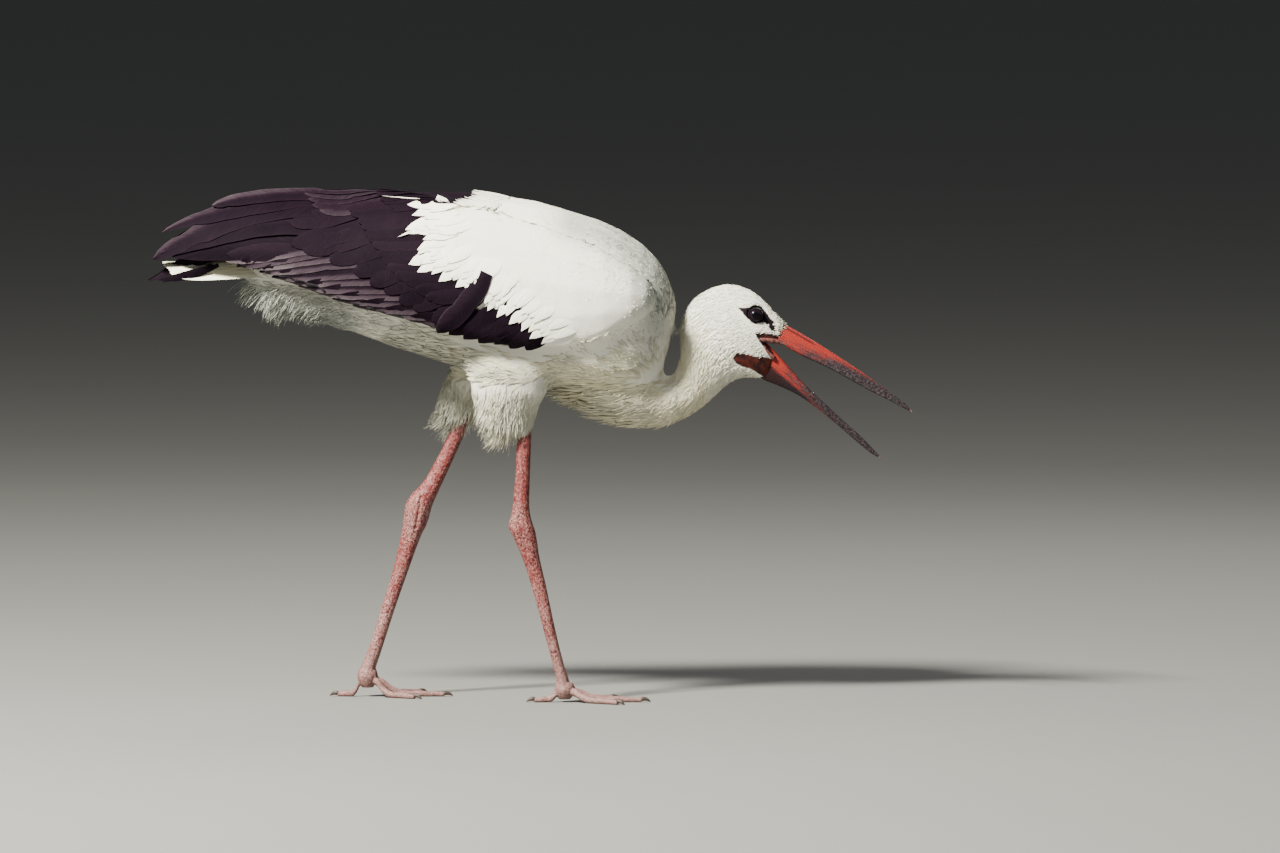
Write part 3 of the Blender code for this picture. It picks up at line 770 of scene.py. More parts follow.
class Coat:
    """The part of the coat that grows from one stretch of skin."""

    root_depth: float = 0.4  # how far under the skin a shaft starts
    least_half: float = 0.04  # the least half-width of a vane
    # powers of the share along: how a shaft's steps shorten, its free path takes over and its tip lifts
    step_power: float = 1.25
    free_power: float = 1.5
    lift_power: float = 1.2

    def __init__(self, hide: Hide, field: FlowField) -> None:
        """Keeps the skin and the lie of the feathers on it."""
        self.hide = hide
        self.field = field

    def comb(self, roots: Array, tuft: Tuft, seed: int) -> dict:
        """Draws every shaft along the skin.

        A shaft starts at its root and takes steps along the skin, each in the last one's direction. A
        loose feather also has a free path, straight on in the field's own direction, and its points are
        a mean of both paths, the free one's share growing to the loose share at the tip. The whole is
        raised by the lift times the share of the length.

        Args:
            roots: places on the skin, as (count, 3).
            tuft: how the feathers are made.
            seed: for their small differences.

        Returns:
            The arrays path, side, up and half (the half-widths), with each vane's tone and root, and the
            rings' share along.
        """
        rng = np.random.default_rng(seed)
        roots = np.repeat(roots, tuft.strands, axis=0)
        count = len(roots)
        direction, sizes = self.field.at(roots)
        place, normal = self.hide.nearest(roots)
        length = sizes[:, 0] * rng.uniform(1 - tuft.uneven, 1 + tuft.uneven, count)
        width = sizes[:, 1] * rng.uniform(*tuft.width_range, count)
        lift = sizes[:, 2] * rng.uniform(*tuft.lift_range, count)
        shared = np.repeat(rng.normal(0, tuft.jitter, count // tuft.strands), tuft.strands)
        turn = np.radians(shared + rng.uniform(-tuft.fan, tuft.fan, count))[:, None]
        outward = direction - normal * np.minimum((direction * normal).sum(1, keepdims=True), 0)
        direction = laid_flat(direction, normal)
        sidewards = np.cross(normal, direction)
        heading = unit(direction * np.cos(turn) + sidewards * np.sin(turn))
        hanging = unit(unit(outward) * np.cos(turn) + sidewards * np.sin(turn))
        share = 1 - (1 - np.linspace(0, 1, tuft.rings)) ** self.step_power
        sway = rng.normal(0, tuft.sway, count)[:, None]
        path, up, side = [], [], []
        free = place.copy()
        loose = tuft.loose * np.clip(sizes[:, 2:] / tuft.freed, 0, 1)
        for ring in range(tuft.rings):
            if ring:
                step = (share[ring] - share[ring - 1]) * length[:, None]
                bent = unit(heading + np.cross(normal, heading) * sway * 2)
                place, normal = self.hide.nearest(place + bent * step)
                free = free + unit(hanging + sidewards * sway * 2 * share[ring]) * step
                heading = laid_flat(bent, normal)
            mix = loose * share[ring] ** self.free_power
            height = lift[:, None] * share[ring] ** self.lift_power - self.root_depth
            path.append(place * (1 - mix) + free * mix + normal * height)
            up.append(normal)
            side.append(unit(np.cross(heading, normal)))
        path, up, side = (np.stack(rows, 1) for rows in (path, up, side))
        half = width[:, None] / 2 * width_profile(tuft.outline, share) + self.least_half
        return {"path": path, "up": up, "side": side, "half": half, "tone": rng.random(count),
                "root": path[:, 0], "share": share}

    def grow(self, name: str, roots: Array, tuft: Tuft, tint: Callable[[Array, Array, Array], Array],
             unwrap: Measure, seed: int) -> Piece:
        """Makes a coat piece.

        Args:
            name: the piece's name.
            roots: places on the skin.
            tuft: how its feathers are made.
            tint: gives the finish's tint from points, places across and places along.
            unwrap: gives each root's place on the bake map.
            seed: for small differences.

        Returns:
            The piece.
        """
        combed = self.comb(roots, tuft, seed)
        half = combed["half"]
        thick = tuft.thick * (0.4 + 0.6 * half / half.max(1, keepdims=True))
        points, across, along = vanes(combed["path"], combed["side"], combed["up"], half, half, thick,
                                      tuft.cup, tuft.around)
        shape = across.shape
        along = np.broadcast_to(combed["share"][None, :, None], shape)
        tone = np.broadcast_to(combed["tone"][:, None, None], shape)
        corner = np.stack([across * 0.5, along - 0.5], -1) * UV_PATCH
        uv = unwrap(combed["root"])[:, None, None] + corner
        # painted shade: where shade falls the feathers are greyer, most at their rims, and some feathers are
        # a little grey all over, a tone of their own, with rims painted greyer still as the shade of their
        # overlaps
        rim = smoothstep(np.abs(across), 0.4, 1.0) * smoothstep(along, 0.3, 0.8)
        grey = PAINTED_SHADE_LINES.at(points) * (0.75 + 0.5 * rim + 0.3 * (tone - 0.5))
        grey = grey + (0.12 + 0.5 * rim) * np.clip(tone - 0.3, 0, 1)
        tints = tint(points, across, along)
        marks = {"along": along, "across": across, "tone": tone, "tint": tints, "grey": grey}
        return make_piece(name, points, ring_quads(*shape), marks, np.clip(uv, 0, 1), tuft.around)


def unwrap_along(points: Array, line: Sequence[tuple], middle_y: float = 0.0) -> Array:
    """Unwraps skin about a bent middle line of the side view, like the peel of a banana.

    V is the share of the line's length at its nearest point, and U is the turn about it there, cut open
    on the far side.

    Args:
        points: roots, as (count, 3).
        line: the middle line's (x, z) points.
        middle_y: how far across the bird the line runs.

    Returns:
        Places on the map, as (count, 2).
    """
    line = np.array(line, float)
    start, step = line[:-1], np.diff(line, axis=0)
    long = np.linalg.norm(step, axis=1)
    offset = points[:, None, [0, 2]] - start
    share = np.clip((offset * step).sum(-1) / long**2, 0, 1)
    away = offset - share[..., None] * step
    nearest = np.square(away).sum(-1).argmin(1)
    row = np.arange(len(points))
    away, share, along = away[row, nearest], share[row, nearest], step[nearest]
    reached = np.concatenate([[0], np.cumsum(long)])[nearest] + share * long[nearest]
    height = (along[:, 0] * away[:, 1] - along[:, 1] * away[:, 0]) / long[nearest]
    turn = np.arctan2(points[:, 1] - middle_y, height) / (2 * math.pi) + 0.5
    return 0.01 + 0.98 * np.stack([turn, reached / long.sum()], -1)


def inside(points: Array, outline: Sequence[tuple]) -> Array:
    """Tells which (x, z) points lie inside a closed outline, by how often a line ahead of each crosses it."""
    corners = np.array(outline, float)
    following = np.roll(corners, -1, 0)
    x, z = points[:, :1], points[:, 1:]
    spans = (corners[:, 1] > z) != (following[:, 1] > z)
    rise = np.where(following[:, 1] == corners[:, 1], 1e-9, following[:, 1] - corners[:, 1])
    crossing = corners[:, 0] + (z - corners[:, 1]) / rise * (following[:, 0] - corners[:, 0])
    return (spans & (x < crossing)).sum(1) % 2 == 1


def curve_through(rows: Sequence, at: Array) -> Array:
    """A smooth curve through rows of numbers (Catmull-Rom), read at shares of the way along them.

    Args:
        rows: at least two rows of equal length.
        at: shares from 0 to 1.

    Returns:
        One row for each share.
    """
    rows = np.array(rows, float)
    padded = np.vstack([2 * rows[0] - rows[1], rows, 2 * rows[-1] - rows[-2]])
    place = np.clip(at, 0, 1) * (len(rows) - 1)
    first = np.minimum(place.astype(int), len(rows) - 2)
    u = (place - first)[:, None]
    a, b, c, d = (padded[first + k] for k in range(4))
    return 0.5 * (2 * b + (c - a) * u + (2 * a - 5 * b + 4 * c - d) * u**2 + (3 * b - a - 3 * c + d) * u**3)


# ---- Studio


@dataclass
class Studio:
    """The camera, a pale floor, a pale world and soft lights that face the lit place."""

    aim: tuple = (118.0, 0.0, 295.0)
    distance: float = 11500.0
    elevation: float = 3.2
    lens: float = 300.0
    floor_radius: float = 60000.0
    sky: tuple = (0.82, 0.84, 0.87, 1)
    sky_strength: float = 0.12
    lit: tuple = (0, 0, 400)
    lights: tuple = (
        # name, place, size, power in watts, colour
        ("key", (-2150, -2200, 3200), 700, 960, (1.0, 0.97, 0.86)),
        ("fill", (1500, -3000, 1100), 2600, 12, (0.93, 0.96, 1.0)),
        ("rim", (900, 2300, 2300), 1500, 30, (1.0, 0.98, 0.95)),
    )

    def build(self) -> None:
        """Sets up the whole studio."""
        self.camera()
        self.floor()
        self.light()

    def camera(self) -> None:
        """A long lens, a little above the middle of the bird, at its right side."""
        turn = math.radians(self.elevation)
        aim = Vector(self.aim) * MM
        towards = Vector((0, math.cos(turn), -math.sin(turn)))
        lens = bpy.data.cameras.new("camera")
        lens.lens = self.lens
        lens.clip_end = 200.0
        eye = add_object("camera", lens)
        eye.location = aim - towards * self.distance * MM
        eye.rotation_euler = towards.to_track_quat("-Z", "Y").to_euler()
        bpy.context.scene.camera = eye

    def floor(self) -> None:
        """A very wide disc, its top at floor level."""
        disc = bmesh.new()
        bmesh.ops.create_circle(disc, cap_ends=True, segments=96, radius=self.floor_radius * MM)
        mesh = bpy.data.meshes.new("floor")
        disc.to_mesh(mesh)
        disc.free()
        mesh.materials.append(PaleFloor().material())
        add_object("floor", mesh)

    def light(self) -> None:
        """A pale world and three soft squares of light."""
        world = bpy.data.worlds.new("pale_sky")
        world.use_nodes = True
        sky = world.node_tree.nodes["Background"]
        sky.inputs["Color"].default_value = self.sky
        sky.inputs["Strength"].default_value = self.sky_strength
        bpy.context.scene.world = world
        middle = Vector(self.lit)
        for name, place, size, watts, colour in self.lights:
            lamp = bpy.data.lights.new(name, "AREA")
            lamp.size = size * MM
            lamp.energy = watts
            lamp.color = colour
            made = add_object(name, lamp)
            made.location = Vector(place) * MM
            made.rotation_euler = (middle - Vector(place)).to_track_quat("-Z", "Y").to_euler()
            made.visible_camera = False


# ---- The body's one skin


def one_skin(name: str, nodes: Sequence[str], voxel: float, rounds: int) -> Piece:
    """One closed skin over several solids, with no seam where they meet.

    The solids' copies are joined and remade as one even mesh, which closes the thin gaps between them, and
    each vertex is then moved to the mean of its neighbours a few times, to take the facets off.

    Args:
        name: the skin's name.
        nodes: the solids' names.
        voxel: the side of the even mesh's faces, in millimetres.
        rounds: how often it is smoothed.

    Returns:
        The skin.
    """
    joined = bmesh.new()
    for node in nodes:
        joined.from_mesh(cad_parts[node].data)
    bmesh.ops.remove_doubles(joined, verts=joined.verts, dist=0.00001)
    mesh = bpy.data.meshes.new(name)
    joined.to_mesh(mesh)
    joined.free()
    skin = add_object(name, mesh)
    remesh = skin.modifiers.new("one skin", "REMESH")
    remesh.mode = "VOXEL"
    remesh.voxel_size = voxel * MM
    smooth_out(skin, rounds)
    return skin


def smooth_out(piece: Piece, rounds: int, group: str = "") -> None:
    """Moves vertices halfway to the mean of their neighbours, and makes all modifiers part of the mesh.

    Args:
        piece: the piece.
        rounds: how often they are moved.
        group: the group of those that move, where not all do.
    """
    smooth = piece.modifiers.new("smooth out", "SMOOTH")
    smooth.factor = 0.5
    smooth.iterations = rounds
    smooth.vertex_group = group
    evaluated = piece.evaluated_get(bpy.context.evaluated_depsgraph_get())
    mesh = bpy.data.meshes.new_from_object(evaluated)
    piece.modifiers.clear()
    piece.data = mesh
    mesh.shade_smooth()


def read_vertices(mesh: bpy.types.Mesh) -> tuple[Array, Array]:
    """A mesh's points in millimetres, and its vertex normals."""
    points, normals = np.empty(len(mesh.vertices) * 3), np.empty(len(mesh.vertices) * 3, np.float32)
    mesh.vertices.foreach_get("co", points)
    mesh.vertex_normals.foreach_get("vector", normals)
    return points.reshape(-1, 3) / MM, normals.reshape(-1, 3)


def move_vertices(mesh: bpy.types.Mesh, points: Array) -> None:
    """Moves a mesh's vertices to new places in millimetres."""
    mesh.vertices.foreach_set("co", (points * MM).ravel())
    mesh.update()


@dataclass(frozen=True)
class DarkWing:
    """The black part of a folded wing in the side view: behind its border and above its lower edge.

    The body's surface is under black feathers from a margin behind the border on, but for the part within
    half_keel of the middle that is lower than the back's level.
    """

    border: tuple = (  # z and x
        (384, 10), (402, 0), (412, -20), (424, -40), (432, -55), (448, -75), (460, -100), (474, -118),
        (497, -119), (515, -130), (534, -131), (537, -70), (556, -62),
    )
    lower_edge: tuple = (  # x and z
        (-411, 473), (-350, 474), (-309, 467), (-259, 452), (-195, 430), (-141, 413), (-92, 400), (-33, 386),
        (10, 384),
    )
    margin: float = 12.0
    half_keel: float = 30.0
    back_level: float = 480.0

    def ahead(self, points: Array) -> Array:
        """How far ahead of the border points are, in millimetres."""
        level, place = np.array(self.border, float).T
        return points[:, 0] - np.interp(points[:, 2], level, place)

    def covers(self, points: Array) -> Array:
        """Tells which points on the body's surface are under black feathers."""
        place, level = np.array(self.lower_edge, float).T
        above = points[:, 2] > np.interp(points[:, 0], place, level) + 1
        outer = (np.abs(points[:, 1]) > self.half_keel) | (points[:, 2] > self.back_level)
        return (self.ahead(points) < -self.margin) & above & outer


DARK_WING = DarkWing()


@dataclass(frozen=True)
class PaintedShadeLines:
    """Painted shade, greying white feathers and skin where shade falls: about lines of the side view, each
    with its reach and its amount.

    A line's grey is its amount times the bell curve of the distance over the reach, and the greyest
    line counts.
    """

    lines: tuple = (
        # x and z of both ends, reach, amount
        (45, 515, 95, 500, 20, 0.7), (95, 500, 126, 470, 24, 0.8), (126, 470, 140, 438, 26, 0.8),
        (140, 438, 142, 405, 22, 0.65), (142, 405, 125, 372, 24, 0.45), (60, 318, 125, 312, 14, 0.35),
        (-150, 386, -60, 360, 15, 0.6), (-60, 360, 20, 343, 14, 0.5), (-300, 450, -200, 418, 12, 0.5),
        (-200, 418, -60, 384, 11, 0.4), (-60, 384, 40, 372, 9, 0.3), (-330, 450, -270, 425, 28, 0.85),
        (-270, 425, -200, 405, 26, 0.85), (-20, 335, -15, 300, 34, 0.35), (-90, 335, -85, 300, 30, 0.45),
        (-110, 425, -30, 405, 26, 0.15),
    )

    def at(self, points: Array) -> Array:
        """How much painted shade greys points, from 0 to 1."""
        grey = np.zeros(points.shape[:-1])
        for *line, reach, amount in self.lines:
            grey = np.maximum(grey, amount * np.exp(-((from_line(points, line) / reach) ** 2)))
        return grey


PAINTED_SHADE_LINES = PaintedShadeLines()


@dataclass
class Skin:
    """The flesh of head, neck, trunk, thighs and folded wings, as one skin inside the coat.

    The depths say how far it lies under the solids: head, neck and trunk, more under the black wing and
    loose feathers, and more in the slit between neck and breast. The outlines are (x, z) points of the side
    view. bare_face and bare_throat have no feathers, gape is the bare corner of the mouth, dark between its
    own outline and inner_gape, and feathers are thin on the lores, in front of the eye.
    """

    nodes: tuple = (
        "trunk", "neck_lower", "neck_upper", "head", "thigh_right", "thigh_left", "wing_right_coverts",
        "wing_left_coverts", "wing_right_secondaries", "wing_left_secondaries",
    )
    voxel: float = 2.6
    head_from_x: float = 206.0
    head_depth: float = 0.9
    neck_depth: float = 2.0
    trunk_depth: float = 1.3
    loose_depth: float = 5.0
    slit_depth: float = 2.2
    wing_depth: float = 3.2
    bare_face: tuple = (
        (222.8, 424.2), (230, 424.8), (235.4, 424.4), (238.7, 425.6), (243.6, 426.4), (249.4, 424.7),
        (253.8, 418.8), (258.5, 412.3), (263.1, 407.6), (258.9, 404.8), (251.9, 406.6), (244.5, 408.9),
        (237.9, 409.6), (232.6, 413.4), (227.5, 419.6),
    )
    bare_throat: tuple = (
        (217, 371.5), (222.5, 375.5), (232, 374.4), (242, 371.6), (256.5, 370.2), (266, 366), (280, 336),
        (252, 348.2), (245.5, 352.4), (238.7, 357.2), (228, 360.4), (220.5, 364.5),
    )
    gape: tuple = (
        (242, 396.8), (250.6, 396.8), (260, 395.6), (268, 393), (274, 390.4), (274, 366), (258.8, 370.5),
        (255.5, 375.5), (252, 380.5), (246.5, 387), (243.5, 391.5),
    )
    inner_gape: tuple = (
        (248, 394.6), (259, 393.6), (266, 391.6), (274, 388.4), (274, 366), (259.5, 371.5), (258.5, 377),
        (255.5, 381.5), (251, 387), (248, 391),
    )
    lores: tuple = ((257, 406.5), (265, 404), (270, 399), (271, 395.5), (263, 397), (256, 401))
    rounds: int = 5
    thigh_rounds: int = 130
    thigh_tops: tuple = (-112, 58, 20, 334, 404)  # x from and to, the least y on either side, z from and to

    def build(self) -> Piece:
        """Builds the skin and dresses it."""
        skin = one_skin("body_skin", self.nodes, self.voxel, self.rounds)
        self.even_thighs(skin)
        self.refine_head(skin)
        points, normals = read_vertices(skin.data)
        sunk = points - normals * self.depth(points)[:, None]
        move_vertices(skin.data, sunk)
        side_view = sunk[:, [0, 2]]
        lip = inside(side_view, self.gape) & ~inside(side_view, self.inner_gape)
        spots = inside(side_view, self.lores)
        write_marks(skin.data, {
            "bare": self.bare(sunk) | spots,
            "face": inside(side_view, self.bare_face) | lip | spots,
            "dark": DARK_WING.covers(sunk),
            # painted shade on the skin, as on the coat above it
            "grey": PAINTED_SHADE_LINES.at(sunk),
        })
        return finish_piece(skin, BodySkin().material(), self.nodes)

    def even_thighs(self, skin: Piece) -> None:
        """Takes the step off the thighs' upper edges, where they meet the flanks."""
        x, y, z = read_vertices(skin.data)[0].T
        back, front, aside, low, high = self.thigh_tops
        near = (x > back) & (x < front) & (np.abs(y) > aside) & (z > low) & (z < high)
        group = skin.vertex_groups.new(name="thigh tops")
        group.add(np.flatnonzero(near).tolist(), 1.0, "REPLACE")
        smooth_out(skin, self.thigh_rounds, group.name)

    def refine_head(self, skin: Piece) -> None:
        """Splits the head's faces twice as fine."""
        shell = bmesh.new()
        shell.from_mesh(skin.data)
        front = self.head_from_x * MM
        edges = [edge for edge in shell.edges if min(corner.co.x for corner in edge.verts) > front]
        bmesh.ops.subdivide_edges(shell, edges=edges, cuts=1, use_grid_fill=True, smooth=0.4)
        bmesh.ops.triangulate(shell, faces=[face for face in shell.faces if len(face.verts) > 4])
        shell.to_mesh(skin.data)
        shell.free()
        skin.data.shade_smooth()

    def depth(self, points: Array) -> Array:
        """How far the skin lies under the solids' surface: least on the head, most under loose feathers.

        Each step's two numbers are the places in the side view where it starts and ends.
        """
        x, y, z = points.T
        neck = self.neck_depth + (self.head_depth - self.neck_depth) * smoothstep(x, 157, 215)
        body = np.where(x > 157, neck, self.trunk_depth * (1 - 0.6 * smoothstep(x, 130, 150)))
        black = smoothstep(-DARK_WING.ahead(points), -40, -5) * smoothstep(z, 378, 395)
        body = body + (self.wing_depth - body) * black
        skirt = smoothstep(z, 340, 305) * ((x < 48) & (x > -118) & (np.abs(y) > 10))
        skirt = skirt * (0.2 + 0.8 * smoothstep(x, -4, -25))
        fluff = smoothstep(x, -200, -250) * smoothstep(z, 462, 445)
        slit = smoothstep(np.abs(x - 155), 12, 7) * smoothstep(np.abs(z - 372), 34, 22)
        return body + self.loose_depth * (skirt + fluff) + self.slit_depth * slit

    def bare(self, points: Array) -> Array:
        """Tells where the skin has no feathers: round the eyes, at the gape and under the bill."""
        outlines = (self.bare_face, self.bare_throat, self.gape)
        return np.any([inside(points[:, [0, 2]], outline) for outline in outlines], axis=0)


# ---- Wings and tail


class View(Enum):
    """A way to look at the body: the two axes across the view, the axis in depth and the way along it."""

    SIDE = (0, 2, 1, 1)
    TOP = (0, 1, 2, -1)


class Face:
    """A side of the body as a height field: how deep it is at each place across that side.

    It is read by rays cast onto the solids on an even grid. Beyond their edges the field goes on smoothly,
    as each empty place takes the mean of its neighbours over and over. The upper face is also drawn tight
    over its dents, as each place takes that mean where it is higher.
    """

    areas: dict = {View.SIDE: ((-440, 360), (160, 576)), View.TOP: ((-440, -84), (160, 84))}
    ray_start: float = 800.0
    spread_rounds: int = 1500
    tight_rounds: int = 60

    def __init__(self, nodes: Sequence[str], view: View, step: float = 4.0) -> None:
        """Reads the field from the solids."""
        self.across, self.upward, self.inward, self.way = view.value
        self.step = step
        low, high = self.areas[view]
        self.low = np.array(low, float)
        a, b = np.meshgrid(*(np.arange(start, end, step) for start, end in zip(low, high)), indexing="ij")
        shell = bmesh.new()
        for node in nodes:
            shell.from_mesh(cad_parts[node].data)
        tree = BVHTree.FromBMesh(shell)
        shell.free()
        rays = np.zeros((a.size, 3))
        rays[:, self.across], rays[:, self.upward] = a.ravel(), b.ravel()
        rays[:, self.inward] = -self.ray_start * self.way
        ahead = [self.way * (axis == self.inward) for axis in range(3)]
        hits = [tree.ray_cast(ray, ahead)[0] for ray in (rays * MM).tolist()]
        found = np.array([hit is not None for hit in hits]).reshape(a.shape)
        depth = np.array([hit[self.inward] / MM if hit else 0.0 for hit in hits]).reshape(a.shape)
        depth[~found] = depth[found].mean()
        for _ in range(self.spread_rounds):
            depth = np.where(found, depth, self.mean_of(depth))
        for _ in range(self.tight_rounds if view is View.TOP else 0):
            depth = np.maximum(depth, self.mean_of(depth))
        self.depth = self.mean_of(self.mean_of(depth))
        self.slope = np.stack(np.gradient(self.depth, step), -1)

    def mean_of(self, field: Array) -> Array:
        """The mean of each place's four neighbours."""
        padded = np.pad(field, 1, mode="edge")
        return (padded[:-2, 1:-1] + padded[2:, 1:-1] + padded[1:-1, :-2] + padded[1:-1, 2:]) / 4

    def at(self, places: Array) -> tuple[Array, Array]:
        """Points of the face and its outward normals.

        Args:
            places: places across the side, as (..., 2).

        Returns:
            Points and unit normals, as (..., 3).
        """
        cell = np.clip((places - self.low) / self.step, 0, np.array(self.depth.shape) - 1.001)
        first = cell.astype(int)
        u, v = np.moveaxis(cell - first, -1, 0)
        i, j = first[..., 0], first[..., 1]

        def read(field: Array) -> Array:
            """A smooth reading of a field between its grid's points."""
            a, b = (u, v) if field.ndim == 2 else (u[..., None], v[..., None])
            near = field[i, j] * (1 - b) + field[i, j + 1] * b
            far = field[i + 1, j] * (1 - b) + field[i + 1, j + 1] * b
            return near * (1 - a) + far * a

        slope = self.way * read(self.slope)
        point, normal = np.empty((*places.shape[:-1], 3)), np.empty((*places.shape[:-1], 3))
        for axis, number in ((self.across, 0), (self.upward, 1)):
            point[..., axis] = places[..., number]
            normal[..., axis] = slope[..., number]
        point[..., self.inward] = read(self.depth)
        normal[..., self.inward] = -self.way
        return point, unit(normal)


@dataclass(frozen=True)
class Row:
    """A row of wing feathers, listed from the one on top to the lowest.

    roots and tips are (x, z) points that a curve runs through, read at count places, or (x, y) points for a
    row seen from above. upper and lower are the half-widths of each vane at the row's start and end. bow
    bends the shafts, as a share of their length. rise is the height above the wing's face, lift how much
    higher the tip is than the root, layer how much lower each feather is than the one before, and roll the
    slope of the vanes. base is the feather's tint, pale lightens the upper vane, or the lower one where it
    is below nothing, and fringe lightens the edges.
    """

    name: str
    roots: tuple
    tips: tuple
    count: int
    upper: tuple
    lower: tuple
    bow: float = 0.0
    rise: float = 0.0
    lift: float = 1.5
    layer: float = 0.25
    roll: float = 0.05
    outline: Outline = ROUND
    white: bool = False
    base: float = 0.13
    pale: float = 0.0
    fringe: float = 0.4
    thick: float = 0.35
    view: View = View.SIDE


def sheet_map(across: Array, along: Array) -> Array:
    """Gives each of a few large feathers its own strip of the bake map.

    Args:
        across: places across the vanes, as (feathers, rings, around).
        along: places along them.

    Returns:
        Places on the map, as (feathers, rings, around, 2).
    """
    number = np.arange(len(across))[:, None, None]
    columns = math.ceil(math.sqrt(number.size * 0.25))
    rows = math.ceil(number.size / columns)
    u = number % columns / columns + (0.5 + 0.48 * across) * (0.94 / columns)
    v = number // columns / rows + (0.01 + 0.98 * along) * (0.94 / rows)
    return np.stack([u, v], -1)


@dataclass
class WingPlumage:
    """The feathers of both folded wings, row by row, from the lowest layer to the topmost."""

    faces: dict
    rings: int = 26
    around: int = 12
    cup: float = 0.05
    tip_scatter: float = 0.8
    bow_scatter: float = 0.006
    rows: tuple = (
        Row("primary_feathers", ((-335, 480), (-335, 476), (-340, 461)), ((-412, 457), (-403, 462),
            (-399, 453)), 3, (8, 5), (5, 4), bow=-0.02, rise=-15, lift=2, layer=0.5,
            outline=POINTED, fringe=0.05),
        Row("under_primary", ((-335, 466), (-335, 466)), ((-399, 452.5), (-399, 452.5)), 1, (5, 5), (4.5,
            4.5), rise=-2, lift=14, outline=POINTED, base=0.05, fringe=0.05),
        Row("secondary_feathers", ((-178, 503), (-140, 480), (-98, 450), (-60, 425), (-20, 401)),
            ((-327, 476), (-290, 463), (-248, 449), (-190, 428), (-99, 407)), 13, (11, 10), (7.5, 7),
            rise=-0.2, lift=1.6, layer=0.16, roll=0.1, outline=QUILL, base=0.1, pale=-0.6,
            fringe=0.12, thick=0.2),
        Row("long_tertials", ((-150, 500), (-140, 490)), ((-392, 484), (-326, 483)), 2, (13, 12), (10, 9),
            bow=0.01, rise=-0.6, lift=3.4, outline=QUILL, base=0.04, pale=0.12, fringe=0.12),
        Row("outer_tertials", ((-195, 533), (-180, 508)), ((-404, 476), (-398, 481)), 2, (12, 11), (15, 13),
            bow=-0.08, rise=0.2, lift=4.2, outline=QUILL, base=0.06, pale=0.3, fringe=0.16),
        Row("middle_tertial", ((-215, 540), (-215, 540)), ((-395, 505), (-395, 505)), 1, (15, 15), (12, 12),
            bow=-0.045, rise=0.8, lift=4.4, outline=POINTED, base=0.06, pale=0.36, fringe=0.16),
        Row("top_tertial", ((-205, 543), (-205, 543)), ((-342, 529), (-342, 529)), 1, (12, 12), (9, 9),
            bow=-0.03, rise=1.6, lift=4.2, outline=QUILL, base=0.06, pale=0.44, fringe=0.16),
        Row("primary_coverts", ((-14, 440), (8, 424), (30, 410)), ((-86, 398), (-46, 388), (-4, 381)), 6,
            (10, 9), (8, 7), bow=0.04, rise=-0.6, lift=2.4, layer=0.2, outline=QUILL, fringe=0.16),
        Row("greater_coverts", ((-160, 540), (-150, 522), (-140, 515), (-120, 505), (-108, 496), (-92, 488),
            (-75, 478), (-55, 468), (-40, 455)), ((-256, 516), (-254, 492), (-236, 485), (-203, 470),
            (-179, 456), (-163, 447), (-143, 434), (-127, 426), (-104, 412)), 10, (14, 12), (13, 11),
            bow=0.03, lift=3.0, layer=0.13, fringe=0.1),
        Row("middle_coverts", ((-112, 545), (-113, 528), (-104, 505), (-100, 483), (-80, 460), (-52, 443)),
            ((-196, 530), (-180, 510), (-166, 488), (-146, 464), (-112, 440)), 14, (9, 8), (9, 8), bow=0.03,
            rise=0.2, lift=3.6, layer=0.08, pale=0.06, fringe=0.1),
        Row("alula", ((-45, 464), (-45, 464)), ((-97, 403), (-97, 403)), 1, (12.5, 12.5), (10, 10),
            bow=0.07, rise=1.6, lift=2.4, outline=QUILL, pale=0.22, fringe=0.26),
        Row("inner_tertials", ((-190, -8), (-190, -18), (-180, -28)), ((-342, -7), (-336, -17),
            (-318, -28)), 4, (11, 10), (11, 10), rise=-0.8, lift=3.6, outline=QUILL, base=0.5,
            fringe=0.16, view=View.TOP),
        Row("long_scapulars", ((-120, -6), (-120, -20), (-118, -34)), ((-246, -6), (-240, -18),
            (-226, -32)), 5, (11, 10), (11, 10), lift=3.6, outline=QUILL, base=0.36, fringe=0.12,
            view=View.TOP),
        Row("scapulars", ((-52, -5), (-56, -18), (-64, -35), (-72, -47)), ((-168, -5), (-168, -16),
            (-160, -34), (-146, -46)), 9, (10, 8), (10, 8), rise=0.9, lift=4.0, fringe=0.08, view=View.TOP),
        Row("white_mantle_tips", ((-22, -4), (-24, -20), (-34, -38), (-42, -50)), ((-61, -4), (-64, -20),
            (-75, -37), (-82, -49)), 12, (6, 6), (6, 6), rise=0.5, lift=4.0, outline=POINTED,
            white=True, fringe=0.06, view=View.TOP),
        Row("white_slivers", ((-118, 541), (-126, 508)), ((-157, 543), (-141, 501)), 2, (0.8, 1.4), (0.8,
            1.4), rise=2.6, lift=2.0, outline=LANCE, white=True, fringe=0.1),
    )
    border_tips: tuple = (  # x, z and the way they point, in degrees
        (-131, 535, 187), (-133, 509, 200), (-129, 505, 200), (-118, 505, 205), (-120, 488, 208),
        (-129, 473, 214), (-120, 465, 214), (-97, 455, 216), (-79, 449, 218), (-68, 441, 222),
        (-56, 429, 248), (-45, 424, 242), (-35, 417, 236), (-22, 410, 232), (-9, 402, 228), (0, 394, 222),
        (3, 386, 214), (14, 386, 206),
    )
    border_length: float = 46.0
    # each further row of border feathers: its share of the way from tip to tip, and how far back it is
    border_rows: tuple = ((0.5, (3, 9)), (0.25, (8, 16)), (0.75, (12, 20)), (0.5, (17, 25)))

